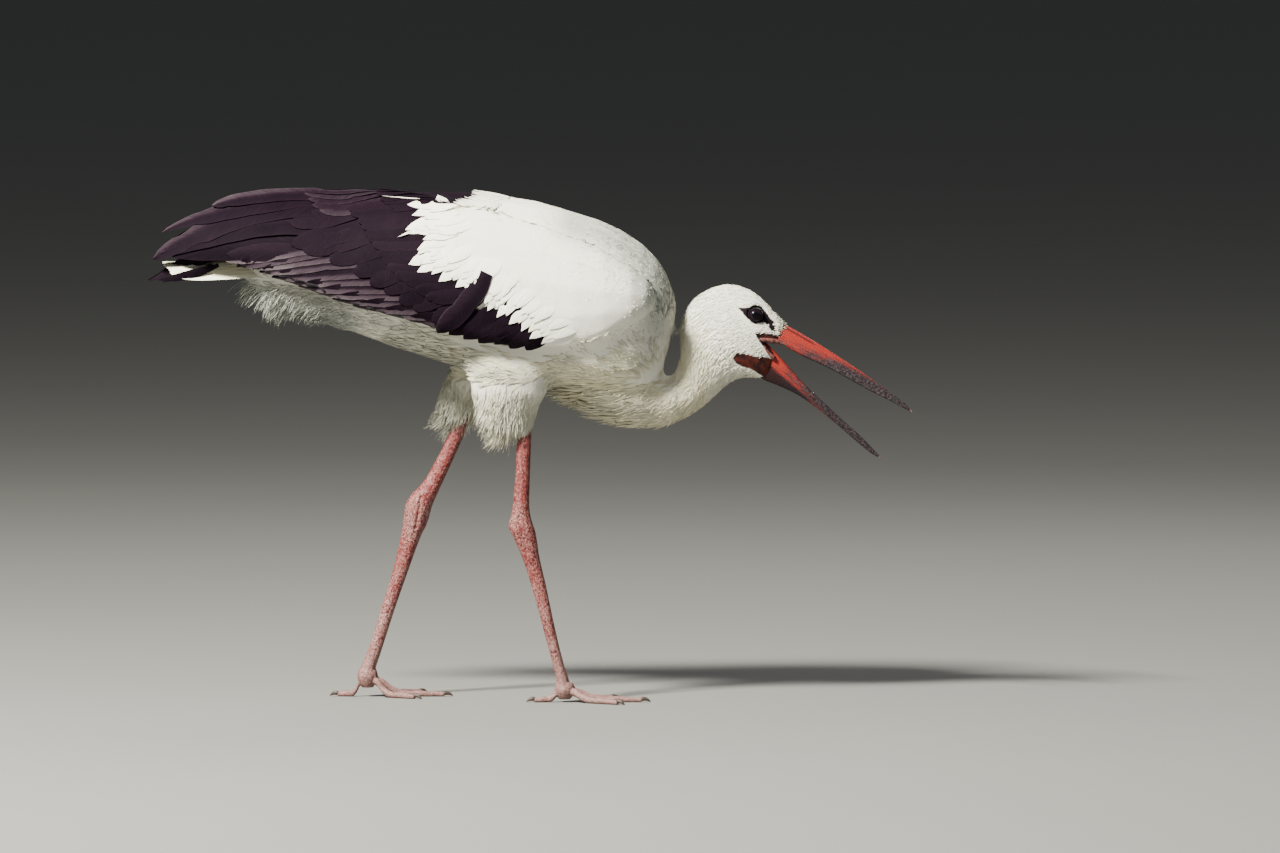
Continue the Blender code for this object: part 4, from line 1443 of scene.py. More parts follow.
    def build(self) -> list[Piece]:
        """Builds both wings' rows."""
        made = []
        black, white = BLACK_COAT.material(), WHITE_COAT.material()
        for number, side in enumerate(Side):
            for place, row in enumerate(self.rows):
                seed = 100 * number + place
                piece = self.lay(row, self.shafts(row, seed), side, seed)
                replaced = [f"wing_{side.word}_primaries"] if row.name == "primary_feathers" else []
                material, slot = (white, "white_plumage") if row.white else (black, "black_plumage")
                made.append(finish_piece(piece, material, replaced))
            made.append(finish_piece(self.border(side, 500 + number), white))
        return made

    def shafts(self, row: Row, seed: int) -> Array:
        """The shafts of a row in its view: lines from root to tip, bowed as an arc of a parabola."""
        rng = np.random.default_rng(seed)
        at = np.linspace(0, 1, row.count)
        roots, tips = curve_through(row.roots, at), curve_through(row.tips, at)
        tips = tips + rng.normal(0, self.tip_scatter, tips.shape)
        return self.bowed(roots, tips, row.bow + rng.normal(0, self.bow_scatter, row.count))

    def bowed(self, roots: Array, tips: Array, bow: Array) -> Array:
        """Lines from roots to tips, pushed sideways by bow times their length at the middle."""
        s = np.linspace(0, 1, self.rings)[None, :, None]
        along = tips - roots
        across = np.stack([-along[:, 1], along[:, 0]], -1)
        push = (across * bow[:, None])[:, None]
        return roots[:, None] + along[:, None] * s + push * 4 * s * (1 - s)

    def border(self, side: Side, seed: int) -> Piece:
        """The white coverts whose tips make the ragged border of white and black, in overlapping rows."""
        rng = np.random.default_rng(seed)
        given = np.array(self.border_tips, float)
        tips = [given]
        for share, back in self.border_rows:
            between = given[1:] * share + given[:-1] * (1 - share)
            turn = np.radians(between[:, 2])
            way = np.stack([np.cos(turn), np.sin(turn)], -1)
            between[:, :2] -= way * rng.uniform(*back, (len(between), 1))
            tips.append(between)
        tips = np.concatenate(tips)
        tips = tips[np.argsort(-tips[:, 1], kind="stable")]
        turn = np.radians(tips[:, 2] + rng.normal(0, 4, len(tips)))
        length = self.border_length * rng.uniform(0.85, 1.15, len(tips))
        roots = tips[:, :2] - np.stack([np.cos(turn), np.sin(turn)], -1) * length[:, None]
        row = Row("white_border", (), (), len(tips), (8, 7), (8, 7), rise=-0.7, lift=3.9, layer=0.02,
                  outline=POINTED, white=True, fringe=0.06, thick=0.25)
        return self.lay(row, self.bowed(roots, tips[:, :2], rng.normal(0, 0.03, len(tips))), side, seed)

    def lay(self, row: Row, shafts: Array, side: Side, seed: int) -> Piece:
        """Lays a row of feathers on one wing.

        Args:
            row: the row's sizes.
            shafts: its shafts in its view, as (count, rings, 2).
            side: the wing.
            seed: for small differences.

        Returns:
            The piece.
        """
        rng = np.random.default_rng(seed + 7)
        count, rings = shafts.shape[:2]
        s = np.linspace(0, 1, rings)
        place, normal = self.faces[row.view].at(shafts)
        sunk = np.arange(count)[:, None] * row.layer
        rise = row.rise - sunk + row.lift * (s - 0.35) + rng.normal(0, 0.15, (count, 1))
        path = place + normal * rise[..., None]
        heading = unit(np.gradient(path, axis=1))
        sideways = unit(np.cross(heading, normal))
        profile = width_profile(row.outline, s)
        share = np.linspace(0, 1, count)[:, None]
        upper, lower = ((first * (1 - share) + last * share) * profile * self.frayed(rng, count, s)
                        for first, last in (row.upper, row.lower))
        thick = row.thick * (0.55 + 0.45 * (1 - s))[None, :] * np.ones((count, 1))
        points, across, along = vanes(path, sideways, normal, lower, upper, thick, self.cup, self.around,
                                      -row.roll)
        shape = across.shape
        edge = smoothstep(np.abs(across), 0.8, 1.0) + smoothstep(along, 0.93, 1.0) * 0.6
        lit_vane = smoothstep(across * np.sign(row.pale), 0.02, 0.35) * abs(row.pale)
        tint = (0.04 if row.white else row.base) + edge * row.fringe + lit_vane * (0.4 + 0.6 * along)
        tone = np.broadcast_to(rng.random(count)[:, None, None], shape)
        if side is Side.LEFT:
            points = points * np.array([1, -1, 1])
        marks = {"along": along, "across": across, "tone": tone, "tint": tint}
        name, uv = f"wing_{side.word}_{row.name}", sheet_map(across, along)
        return make_piece(name, points, ring_quads(*shape), marks, uv, self.around)

    def frayed(self, rng: np.random.Generator, count: int, s: Array) -> Array:
        """Small waves and a few notches in vanes' edges, as a share of their width."""
        phase = rng.uniform(0, 2 * math.pi, (3, count, 1))
        waves = 0.025 * np.sin(17 * s + phase[0]) + 0.015 * np.sin(41 * s + phase[1])
        notch = np.clip(np.sin(9 * s + phase[2]), 0, 1) ** 24 * rng.uniform(0, 0.35, (count, 1))
        return 1 + waves - notch * smoothstep(s, 0.3, 0.6)


@dataclass
class Tail:
    """Twelve white tail feathers in a closed fan, the middle pair on top.

    The outer feathers start and end lower than the middle ones, by roof, lean outwards by side_lean
    degrees, and end ahead of them, by corner.
    """

    root_x: float = -262.0
    tip_x: float = -396.0
    root_z: float = 479.0
    drop: float = 6.0
    roof: float = 11.0
    side_lean: float = 52.0
    half_fan: float = 33.0
    feathers: int = 12
    half_width: float = 11.0
    corner: float = 9.0
    uneven: float = 1.2
    thick: float = 0.4
    cup: float = 0.05
    rings: int = 24
    around: int = 8
    seed: int = 11

    def build(self) -> Piece:
        """Builds the tail: each shaft runs back from the rump, spread in proportion to its number."""
        rng = np.random.default_rng(self.seed)
        count = self.feathers
        spread = np.linspace(-1, 1, count)[:, None]
        s = np.linspace(0, 1, self.rings)[None]
        reach = self.tip_x + self.corner * spread**2 + rng.normal(0, self.uneven, (count, 1)) - self.root_x
        x = self.root_x + reach * s
        y = spread * (self.half_fan * (0.5 + 0.35 * s) - self.half_width * 0.2)
        back = (self.root_x - x) / (self.root_x - self.tip_x)
        z = self.root_z - self.drop * np.sin(back * math.pi / 2) - np.abs(spread) ** 1.4 * self.roof
        path = np.stack(np.broadcast_arrays(x, y, z), -1)
        lean = np.broadcast_to(spread * math.radians(self.side_lean), x.shape)
        up = np.stack([np.zeros(x.shape), np.sin(lean), np.cos(lean)], -1)
        sideways = unit(np.cross(unit(np.gradient(path, axis=1)), up))
        half = self.half_width * width_profile(QUILL, s) * np.ones((count, 1))
        thick = np.full(half.shape, self.thick)
        points, across, along = vanes(path, sideways, up, half, half, thick, self.cup, self.around)
        tone = np.broadcast_to(rng.random(count)[:, None, None], across.shape)
        # painted shade: darker along the middle of each vane and towards the root, where the wings shade the
        # tail
        tint = 0.1 + 0.4 * smoothstep(1 - np.abs(across), 0.1, 0.5) * (1 - 0.6 * along)
        marks = {"along": along, "across": across, "tone": tone, "tint": tint}
        quads, uv = ring_quads(*across.shape), sheet_map(across, along)
        piece = make_piece("tail_feathers", points, quads, marks, uv, self.around)
        return finish_piece(piece, WHITE_COAT.material(), ["tail"])


# ---- The coat of the head, neck, body and thighs

# x, z, angle, length, width, lift
HEAD_AND_NECK_LIES = (
    (262, 415, 150, 6, 1.8, 1.1), (268, 402, 120, 5, 1.6, 1), (240, 438, 165, 8, 2, 1.1),
    (217, 447, 182, 9, 2.2, 1.3), (190, 440, 205, 10, 2.4, 1.6), (170, 425, 232, 11, 2.6, 1.2),
    (162, 412, 258, 12, 3, 3), (157, 385, 268, 12, 2.6, 0.2), (157, 362, 260, 13, 2.8, 0.2),
    (225, 420, 188, 8, 1.9, 1.1), (242, 428, 175, 6, 1.6, 0.8), (242, 405, 196, 6, 1.6, 0.8),
    (210, 415, 202, 9, 2.2, 1.3), (185, 415, 228, 11, 2.5, 1.8), (250, 388, 195, 6, 1.6, 1),
    (230, 388, 204, 9, 2, 1.3), (205, 385, 228, 11, 2.4, 1.8), (185, 380, 248, 13, 2.8, 2.1),
    (180, 360, 250, 14, 3, 1.4), (235, 356, 198, 8, 2, 1.8), (215, 350, 214, 11, 2.3, 1.9),
    (195, 332, 222, 14, 2.6, 1.4), (180, 345, 236, 15, 2.9, 1.4), (175, 318, 212, 18, 3, 2.2),
    (160, 330, 214, 20, 3.4, 1.2), (152, 348, 212, 16, 3.4, 0.7), (150, 308, 194, 24, 3.8, 1.6),
    (130, 299, 184, 34, 4.6, 3.2), (120, 330, 180, 32, 4.6, 2.4), (100, 300, 174, 44, 5, 5.2),
    (80, 310, 172, 46, 5.4, 5.2), (60, 322, 172, 44, 5.6, 4.5), (100, 350, 168, 40, 5.2, 2.7),
)
TRUNK_LIES = (
    (150, 362, 95, 14, 4, 0.3), (154, 390, 95, 12, 4, 0.2), (150, 450, 105, 14, 4.5, 0.8),
    (152, 418, 98, 15, 4.5, 2.4), (130, 487, 130, 13, 5, 0.55), (100, 508, 155, 14, 5.5, 0.55),
    (43, 528, 168, 20, 6.5, 0.39), (-40, 545, 180, 28, 8, 0.33), (-150, 545, 182, 34, 9, 0.33),
    (-250, 510, 188, 34, 9, 0.33), (125, 360, 150, 34, 4.4, 0.9), (128, 400, 130, 20, 4.8, 0.2),
    (125, 440, 150, 15, 5, 0.3), (100, 350, 172, 44, 4.8, 1), (95, 385, 172, 30, 5.2, 0.2),
    (60, 340, 180, 42, 5.2, 1.2), (0, 345, 178, 36, 5.4, 1.2), (-60, 360, 175, 36, 5.6, 1.5),
    (-100, 370, 168, 38, 6, 1.5), (-150, 390, 164, 42, 6.4, 0.72), (-200, 405, 166, 40, 6.4, 0.72),
    (-260, 430, 176, 34, 6, 0.55), (110, 455, 188, 14, 5, 0.55), (100, 475, 184, 15, 5.2, 0.5),
    (60, 500, 183, 20, 6.5, 0.33), (0, 525, 182, 26, 8, 0.28), (-80, 540, 184, 36, 9, 0.28),
    (-90, 500, 196, 40, 9, 0.28), (-60, 480, 208, 40, 9, 0.28), (0, 470, 205, 34, 8.5, 0.28),
    (60, 450, 204, 24, 7, 0.33), (100, 420, 190, 18, 6, 0.15), (60, 405, 208, 26, 7, 0.1),
    (20, 392, 225, 32, 8, 0.2), (-20, 430, 228, 38, 8.5, 0.33), (20, 430, 220, 32, 8.5, 0.28),
)
THIGH_LIES = (
    (22, 345, 250, 34, 2.0, 0.5), (12, 320, 252, 24, 1.8, 0.8), (-60, 345, 252, 32, 2.0, 1.0),
    (-30, 320, 254, 32, 1.8, 3), (-60, 320, 256, 28, 1.8, 3), (0, 298, 262, 15, 1.6, 1.2),
    (-35, 298, 256, 21, 1.6, 4), (-100, 340, 240, 30, 1.8, 2.5), (-105, 318, 234, 26, 1.7, 4),
    (-75, 300, 246, 20, 1.6, 4),
)
VENT_LIES = (
    (-195, 405, 178, 22, 1.8, 1), (-230, 410, 205, 17, 1.8, 3), (-270, 425, 232, 18, 1.8, 4),
    (-310, 445, 215, 20, 1.8, 4), (-320, 470, 190, 22, 1.8, 2),
)
BROW_LIES = (
    (272, 409, -30, 9, 1.0, 0.8), (264, 416, 5, 5, 1.1, 0.3), (268, 401, -26, 8, 1.0, 0.8),
    (262, 399, -16, 6, 1.0, 0.6),
)
BROW_TUFT = Tuft(STRAND, rings=5, strands=2, fan=12, thick=0.2, loose=0.8, jitter=12, spacing=1.0,
                 uneven=0.35, freed=0.8)
HEAD_TUFT = Tuft(LANCE, thick=0.36, cup=0.12, jitter=8, spacing=0.8, uneven=0.45)
NECK_TUFT = Tuft(LANCE, rings=6, thick=0.32, cup=0.1, loose=0.6, jitter=6, spacing=0.75, uneven=0.3)
SCALY_TUFT = Tuft(ROUND, rings=6, thick=0.12, cup=0.03, jitter=4, spacing=0.5)
SOFT_TUFT = Tuft(LANCE, rings=6, thick=0.18, cup=0.04, loose=0.5, sway=0.05, jitter=6, spacing=0.6)
THIGH_TUFT = Tuft(STRAND, rings=6, strands=4, fan=5, thick=0.22, loose=1.0, sway=0.03, jitter=6,
                  spacing=2.0, uneven=0.4)
FLUFF_TUFT = Tuft(STRAND, rings=6, strands=5, fan=26, thick=0.22, loose=1.0, sway=0.1, jitter=16,
                  spacing=2.9, uneven=0.4)


@dataclass
class BodyCoat:
    """White feathers over the skin, stretch by stretch, from the face back to the vent.

    A stretch's edges are at an x where their names end in from, and at a z where they end in level.
    neck_line, trunk_line and thigh_lines are the middle lines that the coat is unwrapped about, and
    breast_line is the upper edge of the neck's long feathers on the breast.
    """

    hide: Hide
    skin: Skin
    neck_line: tuple = (
        (265, 380), (232, 395), (205, 390), (185, 375), (172, 350), (150, 328), (120, 325), (85, 340),
        (60, 360),
    )
    trunk_line: tuple = ((150, 395), (100, 430), (0, 440), (-120, 460), (-250, 462), (-330, 470))
    breast_line: tuple = ((50, 326), (80, 338), (110, 344), (135, 348), (157, 352))
    brow_edge: tuple = ((255, 270), (399, 391))  # x, and the z above which the brow is
    brow_from: float = 261.0
    brow_level: float = 396.0
    head_from: float = 196.0
    neck_from: float = 156.5
    chest_from: float = 140.0
    breast_from: float = 52.0
    flank_level: float = 378.0
    rump_from: float = -60.0
    rump_level: float = 452.0
    vent_from: float = -185.0
    vent_level: float = 450.0
    thigh_lines: tuple = (((-15, 380), (-8, 290)), ((-45, 375), (-80, 292)))
    thigh_from: tuple = (-118.0, 24.0)
    thigh_level: float = 348.0
    thigh_inside: float = 10.0
    keel: tuple = (149.0, 9.0, 386.0, 11.0)  # bare from this x, for this half-width, z and half-height
    edge_scatter: float = 0.3  # how ragged the edge of bare skin is
    reaches: tuple = (0.35, 0.7, 1.05)  # shares of a feather's length at which it may not be over bare skin

    def build(self) -> list[Piece]:
        """Grows every stretch."""
        coat = WHITE_COAT.material()
        return [finish_piece(self.patch(*stretch), coat) for stretch in self.stretches()]

    def stretches(self) -> list[tuple]:
        """What patch needs for each stretch, from the face back to the vent, and then the thighs."""
        neck, trunk = self.neck_line, self.trunk_line
        backs = [(f"back_{side.word}", TRUNK_LIES, SCALY_TUFT, self.half_of(self.on_back, side), trunk,
                  41 + side.value, 0.12) for side in Side]
        thighs = [(f"thigh_{side.word}", THIGH_LIES, THIGH_TUFT, self.half_of(self.on_thigh, side), line,
                   71 + side.value, 0.12, 42 * side.value) for side, line in zip(Side, self.thigh_lines)]
        return [
            ("brow", BROW_LIES, BROW_TUFT, self.on_brow, neck, 25, 0.0),
            ("head", HEAD_AND_NECK_LIES, HEAD_TUFT, self.on_head, neck, 21, 0.1),
            ("neck", HEAD_AND_NECK_LIES, NECK_TUFT, self.behind_head, neck, 31, 0.3),
            *backs,
            ("flanks", TRUNK_LIES, SOFT_TUFT, self.on_flanks, trunk, 51, 0.35),
            ("vent", VENT_LIES, FLUFF_TUFT, self.on_vent, trunk, 61, 0.03),
            *thighs,
        ]

    def half_of(self, wanted: Measure, side: Side) -> Measure:
        """A stretch's part on one side of the bird."""
        return lambda points: wanted(points) & (points[:, 1] * side.value > 0)

    def on_brow(self, points: Array) -> Array:
        """Tells which points have the short bristles that point forward over the bill's root."""
        low = np.interp(points[:, 0], *self.brow_edge)
        return (points[:, 0] > self.brow_from) & (points[:, 2] > low) & ~self.skin.bare(points)

    def on_head(self, points: Array) -> Array:
        """Tells which points have the shortest feathers: the head, but for its bare skin and brow."""
        x, _, z = points.T
        brow = (x > self.brow_from) & (z > self.brow_level)
        return (x > self.head_from) & self.on_neck(points) & ~self.skin.bare(points) & ~brow

    def behind_head(self, points: Array) -> Array:
        """Tells which points have narrow feathers, which grow long and loose over the lower breast."""
        return (points[:, 0] <= self.head_from) & self.on_neck(points) & ~self.skin.bare(points)

    def on_back(self, points: Array) -> Array:
        """Tells which points have the rounded scaly feathers of the mantle and white wing coverts.

        Those feathers end ahead of the black ones.
        """
        direction, sizes = FlowField(TRUNK_LIES).at(points)
        white = DARK_WING.ahead(points + direction * sizes[:, :1] * 1.1) > -6
        above, behind = points[:, 2] > self.flank_level, points[:, 0] < self.chest_from
        return ~self.on_neck(points) & white & above & behind

    def on_flanks(self, points: Array) -> Array:
        """Tells which points have the softer pointed feathers of the breast's sides, flanks and belly."""
        x, y, z = points.T
        low = (z <= self.flank_level) | (x >= self.chest_from)
        behind = (x < self.rump_from) & (z < self.rump_level)
        ahead, half_width, middle, half_height = self.keel
        keel = (x > ahead) & (np.abs(y) < half_width) & (np.abs(z - middle) < half_height)
        elsewhere = self.on_neck(points) | self.on_thigh(points) | DARK_WING.covers(points) | keel
        return (low | behind) & ~elsewhere

    def on_vent(self, points: Array) -> Array:
        """Tells which points have the loose down under the tail's root."""
        low = (points[:, 0] < self.vent_from) & (points[:, 2] < self.vent_level)
        return low & ~DARK_WING.covers(points)

    def on_neck(self, points: Array) -> Array:
        """Tells which points belong to the head, neck or lower breast."""
        x, _, z = points.T
        place, level = np.array(self.breast_line, float).T
        low = (x > self.breast_from) & (z < np.interp(x, place, level))
        return (x > self.neck_from) | low

    def on_thigh(self, points: Array) -> Array:
        """Tells which points belong to a thigh's long feathers."""
        x, y, z = points.T
        back, front = self.thigh_from
        return (np.abs(y) > self.thigh_inside) & (z < self.thigh_level) & (x < front) & (x > back)

    def patch(self, name: str, lies: Sequence[tuple], tuft: Tuft, wanted: Measure, line: Sequence[tuple],
              seed: int, cream: float, middle_y: float = 0.0) -> Piece:
        """Grows one stretch of the coat, but for feathers that would reach over bare skin.

        Args:
            name: the stretch's name.
            lies: how its feathers lie.
            tuft: how they are made.
            wanted: tells which skin points are in it.
            line: the middle line of its unwrap.
            seed: for its random draws.
            cream: how cream-coloured it is, from 0 to 1.
            middle_y: how far across the bird that line runs.

        Returns:
            The piece.
        """
        field = FlowField(lies)

        def apart(points: Array) -> Array:
            """The distance between roots: a share of the feathers' width."""
            return field.at(points)[1][:, 1] * tuft.spacing

        def tint(points: Array, across: Array, along: Array) -> Array:
            """Cream low on the breast and neck, and a greyer rim on each feather."""
            low = smoothstep(points[..., 2], 440, 320) * cream
            rim = smoothstep(np.abs(across), 0.6, 1.0) * 0.1 * smoothstep(along, 0.3, 0.8)
            return 0.03 + low + rim + 0.06 * smoothstep(along, 0.75, 1.0)

        def unwrap(places: Array) -> Array:
            """Roots' places on the bake map."""
            return unwrap_along(places, line, middle_y)

        roots = self.hide.scatter(wanted, apart, seed)
        direction, sizes = field.at(roots)
        start = roots + np.random.default_rng(seed + 5).normal(0, self.edge_scatter, roots.shape)
        reached = [self.skin.bare(start + direction * sizes[:, :1] * share) for share in self.reaches]
        # stripes of the lores are left without feathers
        x, _, z = roots.T
        thin = inside(roots[:, [0, 2]], self.skin.lores) & (np.sin(x * 5 + z * 9) > -0.1)
        roots = roots[~np.any(reached, axis=0) & ~thin]
        return Coat(self.hide, field).grow("coat_" + name, roots, tuft, tint, unwrap, seed + 1)


# ---- Bill, mouth and eyes


@dataclass
class Mandible:
    """One half of the bill, with a rounded outer ridge, thin cutting edges and a trough inside.

    A cut across it is x and z of its ridge, x and z of its cutting edge, and its half-width. Around a cut,
    the outer half goes from one cutting edge over the ridge to the other, as half an oval; the inner half
    comes back along a shallower oval that is hollowed towards the ridge. keel narrows the ridge, and fullness
    below 1 rounds the oval's shoulders. age_start is how old the horn is at the base's cutting edge, and
    age_by_ridge how much is added at the ridge. seam is a crease from (x, z) to (x, z),
    under which is the skin of the throat, and nostril cuts a slit into each side.
    """

    name: str
    node: str
    cuts: tuple
    keel: float
    age_start: float
    age_by_ridge: float
    seam: tuple = ()
    nostril: bool = False
    fullness: float = 0.85
    rings: int = 110
    outer: int = 40
    inner: int = 20

    def build(self, material: bpy.types.Material) -> Piece:
        """Builds and dresses the mandible."""
        at = np.linspace(0, 1, self.rings)
        rows = curve_through(self.cuts, at)
        ridge, edge, half = rows[:, None, :2], rows[:, None, 2:4], rows[:, None, 4]
        over = np.linspace(0, math.pi, self.outer + 1)
        back = np.linspace(math.pi, 2 * math.pi, self.inner + 1)[1:-1]
        turn = np.concatenate([over, back])[None]
        outside, high = turn <= math.pi, np.abs(np.sin(turn))
        rise = np.where(outside, high**self.fullness, 0.3 * high)
        side = np.sign(np.cos(turn)) * np.abs(np.cos(turn)) ** self.fullness
        squeeze = np.where(outside, 1 - self.keel * high, 0.88)
        along = np.broadcast_to(at[:, None], (self.rings, turn.size))
        groove = np.zeros(along.shape)
        # the nostril slit, which the finish paints dark as its shade
        if self.nostril:
            slit = np.exp(-(((np.abs(math.pi / 2 - turn) - 0.52) / 0.085) ** 2)) * outside
            groove = slit * smoothstep(along, 0.05, 0.085) * smoothstep(along, 0.31, 0.24)
        squeeze = squeeze * (1 - 0.16 * groove)
        place = edge + (ridge - edge) * (rise * (1 - 0.05 * groove))[..., None]
        points = np.stack([place[..., 0], half * side * squeeze, place[..., 1]], -1)
        height = np.broadcast_to(np.where(outside, high, 0.0), along.shape)
        age = along + self.age_start + self.age_by_ridge * height**1.8
        throat = np.zeros(along.shape)
        if self.seam:
            (x0, z0), (x1, z1) = self.seam
            area = (points[..., 0] - x0) * (z1 - z0) - (points[..., 2] - z0) * (x1 - x0)
            below = area / math.hypot(x1 - x0, z1 - z0)
            throat = smoothstep(below, -0.7, 0.7)
            # a crease, also painted dark as its shade
            crease = np.exp(-((below / 0.9) ** 2)) * outside * smoothstep(along, 0.5, 0.4)
            points[..., 1] *= 1 - 0.09 * crease
            groove = np.maximum(groove, crease * 0.8)
        marks = {"along": along, "ridge": height, "age": age, "groove": groove, "throat": throat}
        piece = make_piece(self.name, points, ring_quads(1, self.rings, turn.size), marks)
        return finish_piece(piece, material, [self.node])


UPPER = Mandible("bill_upper_horn", "bill_upper", (
    (262, 411, 252, 392.5, 11.2), (280, 402, 268.5, 385.5, 10.0), (304, 388.2, 293, 371.5, 8.4),
    (325.5, 374.6, 317, 360.5, 6.9), (347, 360.6, 340, 348.3, 5.6), (369, 345.5, 364, 334.8, 4.3),
    (390, 330.5, 387, 323.2, 3.0), (403, 320.5, 401, 315.6, 1.9), (412, 311.4, 411.5, 310.2, 0.5),
), keel=0.22, age_start=0.32, age_by_ridge=-0.4, nostril=True)
LOWER = Mandible("bill_lower_horn", "bill_lower", (
    (243, 352, 252, 387, 10.4), (252, 345, 262, 377.5, 10.4), (267, 339, 277.5, 360.5, 9.4),
    (288, 329, 295.5, 340.5, 7.6), (309.5, 314, 315.5, 321.5, 6.0), (331, 296.5, 335.5, 303, 4.7),
    (351.5, 278.8, 356, 284.5, 3.3), (367.5, 265.8, 370, 270, 2.1), (377.3, 260.6, 378, 261.6, 0.5),
), keel=0.2, age_start=0.24, age_by_ridge=-0.2, seam=((246, 371), (302, 322)))


@dataclass
class Mouth:
    """The moist fold of skin in each corner of the mouth, and the lining behind it.

    fold and lining are (x, z, y) points of their middle lines, radius is the fold's along its own, and
    lining_half the lining's half-thickness in x and z. The lining reaches into the cheeks by tuck.
    """

    fold: tuple = ((243, 393, 16.5), (248, 390, 16.8), (254, 388.8, 15), (261, 388, 12.4), (268, 386.6, 9.8),
                   (276, 383.4, 8), (286, 377.5, 6.6))
    radius: tuple = (0.8, 1.9, 2.7, 2.8, 2.4, 1.6, 0.4)
    lining: tuple = ((236, 397, 7.5), (244, 391, 9.5), (250, 384, 10.5), (254, 378, 10), (262, 369, 8))
    lining_half: tuple = (3.2, 2.2)
    tuck: float = 6.5
    rings: int = 40
    around: int = 16

    def build(self) -> Piece:
        """Builds the folds on both sides and the lining, in one piece."""
        at = np.linspace(0, 1, self.rings)
        turn = np.arange(self.around) / self.around * 2 * math.pi
        radius = curve_through([(r, r) for r in self.radius], at)[:, :1]
        tubes = []
        x, z, y = curve_through(self.fold, at).T[:, :, None]
        out, up = y + radius * np.cos(turn), z + radius * np.sin(turn)
        for side in Side:
            tubes.append(np.stack([x + 0 * turn, side.value * out, up], -1))
        x, z, half = curve_through(self.lining, at).T[:, :, None]
        wave = np.sin(turn) * (1 + 0.12 * np.sin(at[:, None] * 21))
        out = (half + self.tuck) * np.cos(turn)
        tubes.append(np.stack([x + self.lining_half[0] * wave, out, z + self.lining_half[1] * wave], -1))
        piece = make_piece("mouth_lining", np.stack(tubes), ring_quads(3, self.rings, self.around), {})
        return finish_piece(piece, MOUTH_SKIN.material())


@dataclass
class Eyes:
    """Both eyeballs, each with a ring of lid skin drawn out to a corner in front and behind.

    An eyeball is smaller than its solid by shrink, and its cornea stands out of it. The lid runs at
    lid_reach from the eye's axis, and the line through its corners rises by corner_slope degrees.
    """

    shrink: float = 0.35
    cornea: float = 0.7
    lid_reach: float = 6.4
    lid_radius: float = 1.05
    corner_slope: float = -24.0
    ball_grid: tuple = (36, 40)
    lid_grid: tuple = (72, 12)

    def build(self) -> list[Piece]:
        """Builds eyes and lids."""
        made = []
        gloss, skin = EyeGloss().material(), LID_SKIN.material()
        for side in Side:
            low, high = box_of(f"eye_{side.word}")
            centre, radius = (low + high) / 2, (high[2] - low[2]) / 2 - self.shrink
            made.append(finish_piece(self.ball(side, centre, radius), gloss, [f"eye_{side.word}"]))
            made.append(finish_piece(self.lid(side, centre, radius), skin))
        return made

    def ball(self, side: Side, centre: Array, radius: float) -> Piece:
        """An eyeball: rings of a sphere about the axis across the bird, its front bulging as a cornea."""
        rings, around = self.ball_grid
        polar = np.linspace(0.02, math.pi - 0.02, rings)[:, None]
        turn = (np.arange(around) / around * 2 * math.pi)[None]
        reach = radius + self.cornea * np.exp(-((polar / 0.62) ** 2))
        aside, out = reach * np.sin(polar), side.value * reach * np.cos(polar)
        points = np.stack([aside * np.cos(turn), out + 0 * turn, aside * np.sin(turn)], -1)
        off_axis = np.broadcast_to(np.where(polar < math.pi / 2, np.sin(polar), 1.0), points.shape[:2])
        quads = ring_quads(1, rings, around)
        return make_piece(f"eye_{side.word}_ball", points + centre, quads, {"off_axis": off_axis})

    def lid(self, side: Side, centre: Array, radius: float) -> Piece:
        """A lid ring: a tube about a path that hugs the eyeball and is drawn out at its two corners."""
        rings, around = self.lid_grid
        a = (np.arange(rings) / rings * 2 * math.pi)[:, None]
        b = (np.arange(around) / around * 2 * math.pi)[None]
        corner = math.radians(self.corner_slope)
        # the lid is drawn out at its front corner, and a little less at its rear one
        reach = self.lid_reach + 1.3 * np.exp(-((np.sin((a - corner) / 2) / 0.2) ** 2))
        reach = reach + 0.9 * np.exp(-((np.cos((a - corner) / 2) / 0.2) ** 2))
        out = np.sqrt(np.maximum(radius**2 - np.minimum(reach, radius - 0.6) ** 2, 1.0))
        reach = reach + self.lid_radius * np.cos(b)
        out = side.value * (out + 0.55 + 0.95 * np.sin(b))
        points = np.stack([reach * np.cos(a), out, reach * np.sin(a)], -1)
        index = np.arange(rings * around).reshape(rings, around)
        following = np.roll(index, -1, 0)
        quads = np.stack([index, np.roll(index, -1, 1), np.roll(following, -1, 1), following], -1)
        return make_piece(f"eye_{side.word}_lid", points + centre, quads.reshape(-1, 4), {})


# ---- Legs and claws


